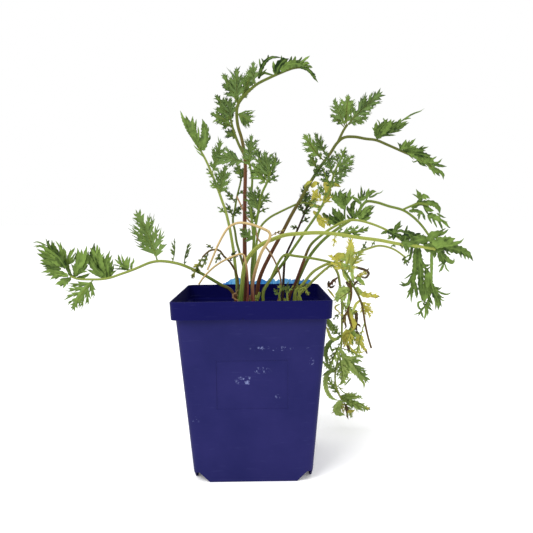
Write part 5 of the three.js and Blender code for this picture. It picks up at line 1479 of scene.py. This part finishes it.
def dry_material(settings):
    """Dead stalks: straw that turns red brown by the blush value, with streaks along them and dark
    speckles."""
    material, start, place = new_material("dry_stalk")
    streak = start.surface().streaks((12.0, 9.0, 1.0), 4.0)
    spots = place.noise(900)
    turned = (start.stored("blush") + (streak - 0.45) * 0.7).clipped()
    colour = turned.mixed(settings.dry_straw, settings.stalk_red)
    colour = (spots.between(0.6, 0.72) * 0.5).mixed(colour, settings.dead_dark)
    link_shader(start, colour, 0.6 + spots * 0.3, streak + spots * 0.4, 0.0002, 0.5)
    return material


def wood_material(soil, settings):
    """Woody crown: bark brown in long streaks, darker in the hollows, with straw-coloured flecks."""
    material, start, place = new_material("crown_wood")
    grain = place.streaks((500.0, 500.0, 130.0), 5.0, 0.65)
    fine = place.noise(1800)
    colour = grain.between(0.3, 0.7).mixed(settings.stalk_dark, soil.bark)
    colour = (fine.between(0.55, 0.75) * 0.5).mixed(colour, settings.stalk_straw)
    link_shader(start, colour, 0.75 + fine * 0.2, grain + fine * 0.4, 0.0006, 0.8)
    return material


def soil_material(settings):
    """Potting soil: dark brown with black peat, lighter fibres and a few pale grains."""
    material, start, place = new_material("potting_soil")
    clump = place.noise(180, 5.0, 0.7)
    grain = place.noise(900, 4.0, 0.7)
    fibre = place.streaks((300.0, 1500.0, 900.0), 2.0)
    colour = clump.between(0.35, 0.65).mixed(settings.peat, settings.loam)
    colour = (fibre.between(0.6, 0.7) * 0.7).mixed(colour, settings.fibre)
    colour = (grain.between(0.68, 0.74) * 0.5).mixed(colour, settings.grit)
    link_shader(start, colour, 0.85 + grain * 0.12, clump + grain * 0.7, 0.0012, 0.9)
    return material


def inside_mask(x, y, z):
    """1 inside the middle of the pot's wall and 0 outside. The wall is a square with rounded corners that
    widens with the height and steps out at the band; the distance to it is that past its sides, less the
    corner."""
    body_half = z * BODY_SLOPE + (FOOT_HALF - POT_WALL / 2) * MM
    above = z.between(BAND_BOTTOM * MM, (BAND_BOTTOM + POT_WALL) * MM)
    wall = body_half + above * ((RIM_HALF - POT_WALL * 0.75) * MM - body_half)
    corner = (POT_CORNER - POT_WALL / 2) * MM
    past_x = (x.absolute() - wall + corner).larger(0)
    past_y = (y.absolute() - wall + corner).larger(0)
    out = (past_x * past_x + past_y * past_y).root() - corner
    return 1 - out.between(-0.1 * MM, 0.1 * MM)


def scuffed(x, y, z):
    """How near a place is to the middles of the scuffs, each an ellipse, on the front of the pot alone."""
    near = 0.0
    for middle_x, middle_z, half_x, half_z in SCUFFS:
        across = (x - middle_x * MM) * (1 / (half_x * MM))
        upward = (z - middle_z * MM) * (1 / (half_z * MM))
        near = near + (1 - (across * across + upward * upward).between(0.25, 1.0))
    return near * (1 - y.between(FRONT_FADE[0] * MM, FRONT_FADE[1] * MM))


def pot_material(settings):
    """Moulded violet-blue plastic: satin, with a faint orange-peel surface, dusty cloudiness, fine rubbed
    lines, pale scuffs on the front where it was handled, and an inside darkened partly by a stain and
    partly as painted shade."""
    material, start, place = new_material("pot_plastic", 0.06)
    cloud = place.noise(28, 4.0)
    peel = place.noise(1600, 2.0)
    rub = place.streaks((90.0, 90.0, 900.0), 3.0, 0.6)
    spot = place.noise(420, 5.0, 0.7)
    split = start.node("ShaderNodeSeparateXYZ", None, {"Vector": place})
    x, y, z = (Shade(start.tree, socket) for socket in split.socket.node.outputs)
    colour = cloud.between(0.25, 0.75).mixed(settings.body, settings.body_light)
    band = z.between((BAND_BOTTOM - BAND_BLUR) * MM, (BAND_BOTTOM + BAND_BLUR) * MM)
    colour = (band * 0.75).mixed(colour, settings.band)
    # The inside of the walls is darker: partly a stain, partly painted shade
    inside_stain_and_shade = inside_mask(x, y, z)
    colour = (inside_stain_and_shade * 0.85).mixed(colour, settings.inside)
    colour = (rub.between(0.6, 0.8) * 0.14).mixed(colour, settings.dust)
    scuff = scuffed(x, y, z) * spot.between(0.55, 0.62)
    colour = (scuff * 0.75).clipped().mixed(colour, settings.scuff)
    roughness = settings.gloss + cloud * 0.12 + scuff * 0.3 + inside_stain_and_shade * 0.4
    link_shader(start, colour, roughness, peel * 0.35 + rub * 0.4 + scuff * 1.2, 0.00012, 0.25)
    return material


def tape_material(settings):
    """Torn plastic tape: light blue, with whitened creases and a soft gloss."""
    material, start, place = new_material("tape_film")
    crease = place.streaks((260.0, 100.0, 60.0), 4.0)
    fine = place.noise(900)
    colour = crease.between(0.4, 0.62).mixed(settings.tape, settings.tape_light)
    colour = (fine.between(0.55, 0.7) * 0.3).mixed(colour, settings.tape_dark)
    link_shader(start, colour, 0.25 + crease * 0.3, crease + fine * 0.3, 0.0004, 0.5)
    return material


def stage_material(settings):
    """Matt studio card with a faint tooth, which gives off a little light."""
    material, start, place = new_material("studio_card", 0.1)
    tooth = place.noise(40)
    colour = (tooth * 0.02).mixed(settings.card, settings.card_shade)
    link_shader(start, colour, 0.85 + tooth * 0.1)
    shader = material.node_tree.nodes["Principled BSDF"]
    shader.inputs["Emission Color"].default_value = (1, 1, 1, 1)
    shader.inputs["Emission Strength"].default_value = settings.glow
    return material


def once(name, make, settings):
    """The material of that name: made at its first use, and taken as it is after that."""
    return bpy.data.materials.get(name) or make(settings)


# Pot, tape, soil and crowns

LATTICE = 64


def rough(x, y, seed, spacing):
    """Smooth random heights from -1 to 1: random values on a square lattice of that spacing, and between its
    points a blend that starts and ends level."""
    values = np.random.default_rng(seed).uniform(-1, 1, (LATTICE, LATTICE))
    u, v = x / spacing + 500.0, y / spacing + 500.0
    column, line = np.floor(u).astype(int), np.floor(v).astype(int)
    s, t = u - column, v - line
    s, t = s * s * (3 - 2 * s), t * t * (3 - 2 * t)
    here, there = column % LATTICE, (column + 1) % LATTICE
    low, high = line % LATTICE, (line + 1) % LATTICE
    return (
        values[here, low] * (1 - s) * (1 - t) + values[there, low] * s * (1 - t)
        + values[here, high] * (1 - s) * t + values[there, high] * s * t
    )


def soil_height(x, y):
    """Height of the soil: two slow waves that cross, then clods and grains that get smaller and lower."""
    waves = 1.1 * (np.sin(x * 0.31 + 1) * np.cos(y * 0.27) + 0.5 * np.sin(x * 0.9) * np.sin(y * 0.8 + 2))
    height = SOIL_TOP + waves
    for seed, (tall, spacing) in enumerate(CLODS, 3):
        height = height + tall * rough(x, y, seed, spacing)
    return height


def square_outline(half, corner, count):
    """A square with rounded corners, as the sum of a small circle and a circle cut off at a square."""
    ways = np.stack([np.cos(circle(count)), np.sin(circle(count))], 1)
    return corner * ways + (half - corner) * np.clip(1.6 * ways, -1, 1)


def inner_half(z):
    """Half the width of the soil at a height: that of the pot's inside, less the gap."""
    return FOOT_HALF + BODY_SLOPE * z - POT_WALL - SOIL_GAP


def soil_skin(crumbs):
    """Soil: rings up the wall of the pot, then ever smaller rings over the top at the height of the soil, and
    crumbs that lie on it, most of them small."""
    skin = Skin()
    outline = square_outline(1.0, SOIL_CORNER / FOOT_HALF, SOIL_AROUND)
    heights = np.array([SOIL_FOOT, 40.0, 80.0, SOIL_TOP - 3])
    wall = [np.column_stack([outline * inner_half(z), np.full(SOIL_AROUND, z)]) for z in heights]
    share = np.linspace(1, 0.01, SOIL_RINGS)[:, None, None]
    flat = outline * inner_half(SOIL_TOP) * share
    top = soil_height(flat[..., 0], flat[..., 1]) - SOIL_EDGE_DROP * share[..., 0] ** 14
    rings = np.concatenate([np.array(wall), np.dstack([flat, top])])[None]
    skin.add(rings, 0, 0.5)
    rng = np.random.default_rng(11)
    reach = (inner_half(SOIL_TOP) - 3) * rng.uniform(-1, 1, (crumbs, 2))
    size = CRUMB_SIZE[0] + CRUMB_SIZE[1] * rng.random(crumbs) ** 4
    middle = np.column_stack([reach, soil_height(reach[:, 0], reach[:, 1]) + 0.2 * size])
    skin.add(lump_rings(rng, middle, size), 0, 0.5)
    return skin


def lump_rings(rng, middle, size):
    """Lumps: rings of points on a ball, pushed in and out by random draws, squashed by random axes."""
    count = len(middle)
    rise = np.radians(CRUMB_RINGS)[None, :, None]
    turn = circle(CRUMB_SIDES)[None, None] + rng.uniform(0, 6, (count, 1, 1))
    ball = [np.cos(rise) * np.cos(turn), np.cos(rise) * np.sin(turn), np.sin(rise)]
    ball = np.stack(np.broadcast_arrays(*ball), -1)
    ball = ball * rng.uniform(0.7, 1.15, (count, len(CRUMB_RINGS), CRUMB_SIDES, 1))
    ball = ball * rng.uniform(0.55, 1.1, (count, 1, 1, 3))
    return middle[:, None, None] + ball * size[:, None, None, None]


def crown_skin(name, crown):
    """Woody crown: a round knobbly stump, its knobs three waves round it that wind with the height, with
    cut-off old stalks standing round it that lean outward."""
    skin = Skin()
    rng = np.random.default_rng(len(name))
    share = np.linspace(0, 1, CROWN_RINGS)
    radius = crown["radius"] * np.interp(share, *CROWN_PROFILE)
    height = SOIL_TOP - CROWN_FOOT + (crown["top"] - SOIL_TOP + CROWN_FOOT) * share
    angle = circle(CROWN_SIDES)
    knobs = 1 + 0.12 * np.sin(3 * angle + 5 * share[:, None])
    knobs = knobs + 0.09 * rough(angle * 3, share[:, None] * 9, 7, 0.8)
    reach = radius[:, None] * knobs
    rings = np.stack(np.broadcast_arrays(reach * np.cos(angle), reach * np.sin(angle), height[:, None]), -1)
    rings[..., :2] += crown["middle"]
    skin.add(rings[None], 0, 0.5)
    for number in range(crown["stubs"]):
        way = number * STUB_TURN + rng.uniform(-0.3, 0.3)
        out = np.array([math.cos(way), math.sin(way), 0.0])
        start = np.array([*crown["middle"], crown["top"] - rng.uniform(*STUB_DROP)])
        start = start + out * crown["radius"] * 0.6
        tall = rng.uniform(*STUB_HEIGHT)
        bend = start + out * tall * 0.3 + [0, 0, tall * 0.5]
        knots = [start, bend, start + out * tall * 0.45 + [0, 0, tall]]
        blush = [rng.uniform(0, 0.6), 0.0, 0.5]
        stalk_skin(skin, spline(knots, 1.0), STUB_RADII, blush, USUAL_TONE, 0, [1, 1])
    return skin


def tape_skin(low, high):
    """Torn tape between the corners of its solid: a thin cross-section carried from left to right behind the
    rim. Its top follows the torn edge with small frays, and the film bellies in and out a little along its
    length."""
    skin = Skin()
    edge = np.array(TAPE_EDGE, float)
    x = np.linspace(edge[0, 0], edge[-1, 0], TAPE_STEPS)
    top = np.interp(x, edge[:, 0], edge[:, 1])
    for seed, (tall, spacing) in enumerate(TAPE_FRAYS, 21):
        top = top + tall * rough(x, x * 0, seed, spacing)
    top = np.minimum(top, high[2] / MM)
    row = np.linspace(0, 1, TAPE_ROWS)
    z = TAPE_BOTTOM + (top[:, None] - TAPE_BOTTOM) * row
    belly = TAPE_BELLY[0] * (1 + rough(x[:, None], z, 23, TAPE_BELLY[1])) * row
    outer = low[1] / MM + TAPE_THICKNESS + belly
    back = np.stack(np.broadcast_arrays(x[:, None], outer, z), -1)
    front = np.stack(np.broadcast_arrays(x[:, None], outer - TAPE_THICKNESS, z), -1)[:, ::-1]
    skin.add(np.concatenate([back, front], 1)[None], 0, 0.5)
    return skin


def pot_mesh(name, material):
    """A copy of the solid pot, merged into one skin and cleaned of edges that lie flat, to be bevelled."""
    work = bmesh.new()
    work.from_mesh(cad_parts["pot"].data)
    bmesh.ops.remove_doubles(work, verts=work.verts, dist=0.01 * MM)
    bmesh.ops.dissolve_limit(work, angle_limit=math.radians(0.5), verts=work.verts, edges=work.edges)
    mesh = bpy.data.meshes.new(name)
    work.to_mesh(mesh)
    work.free()
    mesh.materials.append(material)
    mesh.shade_smooth()
    mesh.set_sharp_from_angle(angle=math.radians(35))
    return into_scene(bpy.data.objects.new(name, mesh))


# Settings, as they look on a screen


def colour(name, about, red, green, blue):
    """A colour setting, its default as it looks on a screen, 0-255."""
    default = (red / 255, green / 255, blue / 255)
    return FloatVectorProperty(
        name=name, description=about, default=default, size=3, min=0, max=1, subtype="COLOR_GAMMA",
    )


class TanacetumLeaves(PropertyGroup):
    deep_green: colour("Deep green", "Darkest green of the leaflets", 12, 34, 0)
    light_green: colour("Light green", "Lightest green of the leaflets", 104, 128, 58)
    faded_green: colour("Faded green", "Green of the leaflets that are dying back", 150, 168, 90)
    under_green: colour("Underside", "Colour of the undersides", 98, 120, 72)
    vein_green: colour("Vein", "Colour of the middle vein of each lobe", 104, 130, 60)
    tooth_green: colour("Tooth tips", "Colour at the tips of the teeth", 20, 36, 6)
    ripe_yellow: colour("Yellowed leaf", "Colour of leaflets that have turned", 166, 160, 66)
    dead_brown: colour("Dead leaf", "Colour of shrivelled leaflets", 88, 72, 46)
    dead_dark: colour("Dead leaf, dark", "Dark patches of shrivelled leaflets", 36, 28, 20)
    stalk_straw: colour("Stalk, straw", "Palest colour of the stalks", 144, 152, 70)
    stalk_green: colour("Stalk, green", "Green of the stalks", 82, 106, 36)
    stalk_olive: colour("Stalk, olive", "Olive brown of the stalks", 80, 74, 30)
    stalk_red: colour("Stalk, red", "Red brown of the stalks", 92, 38, 30)
    # Also painted as shade in the furrows of the stalks
    stalk_dark: colour("Stalk, dark", "Darkest colour of the stalks", 34, 16, 15)
    # Painted highlight along the ridges of the stalks
    stalk_highlight: colour("Stalk ridge", "Light ridges along the stalks", 138, 156, 76)
    dry_straw: colour("Dry stalk", "Dead stalks", 180, 158, 106)
    thickness: FloatProperty(
        name="Thickness", description="Thickness of the lobes at their foot", default=0.00032, min=0.0001,
        max=0.001, unit="LENGTH", precision=5,
    )
    draws: IntProperty(name="Draws", description="Seed of the first leaf's random draws", default=100, min=0)


class TanacetumPot(PropertyGroup):
    body: colour("Body", "Violet blue of the pot", 25, 26, 75)
    body_light: colour("Body, light", "Lighter clouds in the plastic", 33, 32, 83)
    # Partly a stain inside the pot and partly painted shade between its walls
    inside: colour("Inside", "Stained inside of the pot above the soil", 0, 0, 58)
    band: colour("Band", "Deeper blue of the band under the rim", 0, 0, 62)
    dust: colour("Rubbed lines", "Fine rubbed lines", 80, 84, 130)
    scuff: colour("Scuffs", "Pale scuffs on the front", 120, 128, 170)
    tape: colour("Tape", "Blue of the torn tape", 50, 132, 210)
    tape_light: colour("Tape, creased", "Whitened creases of the tape", 120, 190, 236)
    tape_dark: colour("Tape, dark", "Dark specks of the tape", 24, 74, 150)
    gloss: FloatProperty(
        name="Roughness", description="Lowest roughness of the plastic", default=0.34, min=0, max=1,
    )
    bevel: FloatProperty(
        name="Edge rounding", description="Rounding of the moulded edges", default=0.0004, min=0, max=0.003,
        unit="LENGTH", precision=5,
    )


class TanacetumSoil(PropertyGroup):
    peat: colour("Peat", "Darkest soil", 26, 19, 14)
    loam: colour("Loam", "Lighter soil", 66, 48, 34)
    fibre: colour("Fibres", "Plant fibres in the soil", 118, 88, 58)
    grit: colour("Grit", "Pale grains in the soil", 150, 132, 110)
    bark: colour("Bark", "Bark of the woody crowns", 104, 66, 46)
    crumbs: IntProperty(name="Crumbs", description="How many crumbs lie on the soil", default=900, min=0)


class TanacetumStage(PropertyGroup):
    card: colour("Card", "Colour of the studio card", 252, 252, 252)
    card_shade: colour("Card, shade", "Colour of the card's faint tooth", 229.5, 229.5, 229.5)
    glow: FloatProperty(name="Card glow", description="Light that the card gives off", default=0.12, min=0)
    sky: FloatProperty(name="Surrounding light", description="Light from all round", default=1.0, min=0)
    key: FloatProperty(
        name="Key light", description="Power of the large soft light", default=20.0, min=0, unit="POWER",
    )
    fill: FloatProperty(
        name="Fill light", description="Power of the light from the right", default=4.0, min=0, unit="POWER",
    )


# Operators


def grow_all(start, looks, stalk):
    """Each leaf whose name starts so, as a piece of its own. The draws differ from leaf to leaf and are the
    same in every run."""
    leaf = once("leaf", leaf_material, looks)
    for number, name in enumerate(FRONDS):
        if name.startswith(start):
            skin = grow(name, looks.draws + number, looks.thickness / MM)
            piece = skin.fill(name + "_leaf", [leaf, stalk])
            finished(piece, name)


class TANACETUM_OT_fronds(Operator):
    """Grow the feathery fronds: ridged stalks with lobed and toothed leaflets"""

    bl_idname = "tanacetum.fronds"
    bl_label = "Fronds"

    def execute(self, context):
        looks = context.scene.tanacetum_leaves
        grow_all("frond", looks, once("stalk", stalk_material, looks))
        return {"FINISHED"}


class TANACETUM_OT_young_leaves(Operator):
    """Grow the young leaves in the pot"""

    bl_idname = "tanacetum.young_leaves"
    bl_label = "Young leaves"

    def execute(self, context):
        looks = context.scene.tanacetum_leaves
        grow_all("young", looks, once("stalk", stalk_material, looks))
        return {"FINISHED"}


class TANACETUM_OT_dry_stalks(Operator):
    """Grow the dead stalks that lie over the pot, and the dead curl"""

    bl_idname = "tanacetum.dry_stalks"
    bl_label = "Dry stalks"

    def execute(self, context):
        looks = context.scene.tanacetum_leaves
        grow_all("dry", looks, dry_material(looks))
        return {"FINISHED"}


class TANACETUM_OT_crowns(Operator):
    """Make the woody crowns that the stalks rise from"""

    bl_idname = "tanacetum.crowns"
    bl_label = "Crowns"

    def execute(self, context):
        looks = context.scene.tanacetum_leaves
        wood = wood_material(context.scene.tanacetum_soil, looks)
        stalk = once("stalk", stalk_material, looks)
        for name, crown in CROWNS.items():
            piece = crown_skin(name, crown).fill(name + "_wood", [wood, stalk], 60)
            finished(piece, name)
        return {"FINISHED"}


class TANACETUM_OT_soil(Operator):
    """Fill the pot with crumbly soil"""

    bl_idname = "tanacetum.soil"
    bl_label = "Soil"

    def execute(self, context):
        looks = context.scene.tanacetum_soil
        piece = soil_skin(looks.crumbs).fill("soil_crumbs", [soil_material(looks)], 50)
        finished(piece, "soil")
        return {"FINISHED"}


class TANACETUM_OT_pot(Operator):
    """Dress the square nursery pot: rounded edges and satin plastic"""

    bl_idname = "tanacetum.pot"
    bl_label = "Pot"

    def execute(self, context):
        looks = context.scene.tanacetum_pot
        piece = pot_mesh("pot_moulded", pot_material(looks))
        rounding = piece.modifiers.new("Rounded edges", "BEVEL")
        rounding.width = looks.bevel
        rounding.segments = 2
        rounding.limit_method = "ANGLE"
        rounding.angle_limit = math.radians(35)
        rounding.harden_normals = True
        finished(piece, "pot")
        return {"FINISHED"}


class TANACETUM_OT_tape(Operator):
    """Stick the torn strip of tape behind the rim"""

    bl_idname = "tanacetum.tape"
    bl_label = "Torn tape"

    def execute(self, context):
        film = tape_material(context.scene.tanacetum_pot)
        finished(tape_skin(*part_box("tape")).fill("tape_torn", [film], 50), "tape")
        return {"FINISHED"}


def floor_disc(material):
    """The floor: one round flat face on the ground."""
    angle = circle(FLOOR_SIDES)
    rim = FLOOR_RADIUS * np.stack([np.cos(angle), np.sin(angle), np.zeros(FLOOR_SIDES)], 1)
    mesh = bpy.data.meshes.new("floor")
    mesh.from_pydata(rim, [], [list(range(FLOOR_SIDES))])
    mesh.materials.append(material)
    return into_scene(bpy.data.objects.new("floor", mesh))


def soft_light(name, power, size, place):
    """A square soft light that faces the middle of the plant."""
    lamp = bpy.data.lights.new(name, "AREA")
    lamp.energy = power
    lamp.size = size
    light = into_scene(bpy.data.objects.new(name, lamp))
    light.location = place
    light.rotation_euler = (Vector(LIT_POINT) - Vector(place)).to_track_quat("-Z", "Y").to_euler()


def photo_camera():
    """The camera where the photograph was taken from: turned by the yaw, tipped down by the pitch, then
    rolled."""
    ahead = np.array([math.sin(EYE_YAW), math.cos(EYE_YAW), 0.0]) * math.cos(EYE_PITCH)
    forward = ahead - [0, 0, math.sin(EYE_PITCH)]
    level = np.array([math.cos(EYE_YAW), -math.sin(EYE_YAW), 0.0])
    upright = np.cross(level, forward)
    right = level * math.cos(EYE_ROLL) + upright * math.sin(EYE_ROLL)
    up = upright * math.cos(EYE_ROLL) - level * math.sin(EYE_ROLL)
    lens = bpy.data.cameras.new("camera")
    lens.sensor_width = SENSOR
    lens.lens = FOCAL_PX * SENSOR / PHOTO_SIDE_PX
    lens.clip_end = 100
    camera = into_scene(bpy.data.objects.new("camera", lens))
    turned = Matrix(np.column_stack([right, up, -forward]).tolist()).to_4x4()
    camera.matrix_world = Matrix.Translation(Vector(EYE * MM)) @ turned
    return camera


class TANACETUM_OT_stage(Operator):
    """Set the pale floor, the soft light and the camera at the photograph's place"""

    bl_idname = "tanacetum.stage"
    bl_label = "Studio"

    def execute(self, context):
        looks = context.scene.tanacetum_stage
        floor_disc(stage_material(looks))
        world = bpy.data.worlds.new("studio")
        world.use_nodes = True
        around = world.node_tree.nodes["Background"]
        around.inputs["Color"].default_value = (1, 1, 1, 1)
        around.inputs["Strength"].default_value = looks.sky
        context.scene.world = world
        soft_light("key", looks.key, KEY_SIZE, KEY_PLACE)
        soft_light("fill", looks.fill, FILL_SIZE, FILL_PLACE)
        context.scene.view_settings.view_transform = "Standard"
        context.scene.camera = photo_camera()
        return {"FINISHED"}


class TANACETUM_PT_panel(Panel):
    bl_label = "Potted tanacetum"
    bl_space_type = "VIEW_3D"
    bl_region_type = "UI"
    bl_category = "Tanacetum"

    def draw(self, context):
        for operator in OPERATORS:
            self.layout.operator(operator.bl_idname)
        for name in GROUPS:
            group = getattr(context.scene, name)
            box = self.layout.box()
            for key in group.__annotations__:
                box.prop(group, key)


OPERATORS = [
    TANACETUM_OT_pot,
    TANACETUM_OT_tape,
    TANACETUM_OT_soil,
    TANACETUM_OT_crowns,
    TANACETUM_OT_fronds,
    TANACETUM_OT_young_leaves,
    TANACETUM_OT_dry_stalks,
    TANACETUM_OT_stage,
]
GROUPS = {
    "tanacetum_leaves": TanacetumLeaves,
    "tanacetum_pot": TanacetumPot,
    "tanacetum_soil": TanacetumSoil,
    "tanacetum_stage": TanacetumStage,
}


def register():
    for kind in [*GROUPS.values(), *OPERATORS, TANACETUM_PT_panel]:
        bpy.utils.register_class(kind)
    for name, group in GROUPS.items():
        setattr(bpy.types.Scene, name, PointerProperty(type=group))


def unregister():
    for name in GROUPS:
        delattr(bpy.types.Scene, name)
    for kind in [*GROUPS.values(), *OPERATORS, TANACETUM_PT_panel]:
        bpy.utils.unregister_class(kind)


def main():
    register()
    bpy.ops.tanacetum.pot()
    bpy.ops.tanacetum.tape()
    bpy.ops.tanacetum.soil()
    bpy.ops.tanacetum.crowns()
    bpy.ops.tanacetum.fronds()
    bpy.ops.tanacetum.young_leaves()
    bpy.ops.tanacetum.dry_stalks()
    bpy.ops.tanacetum.stage()


if __name__ == "__main__":
    main()
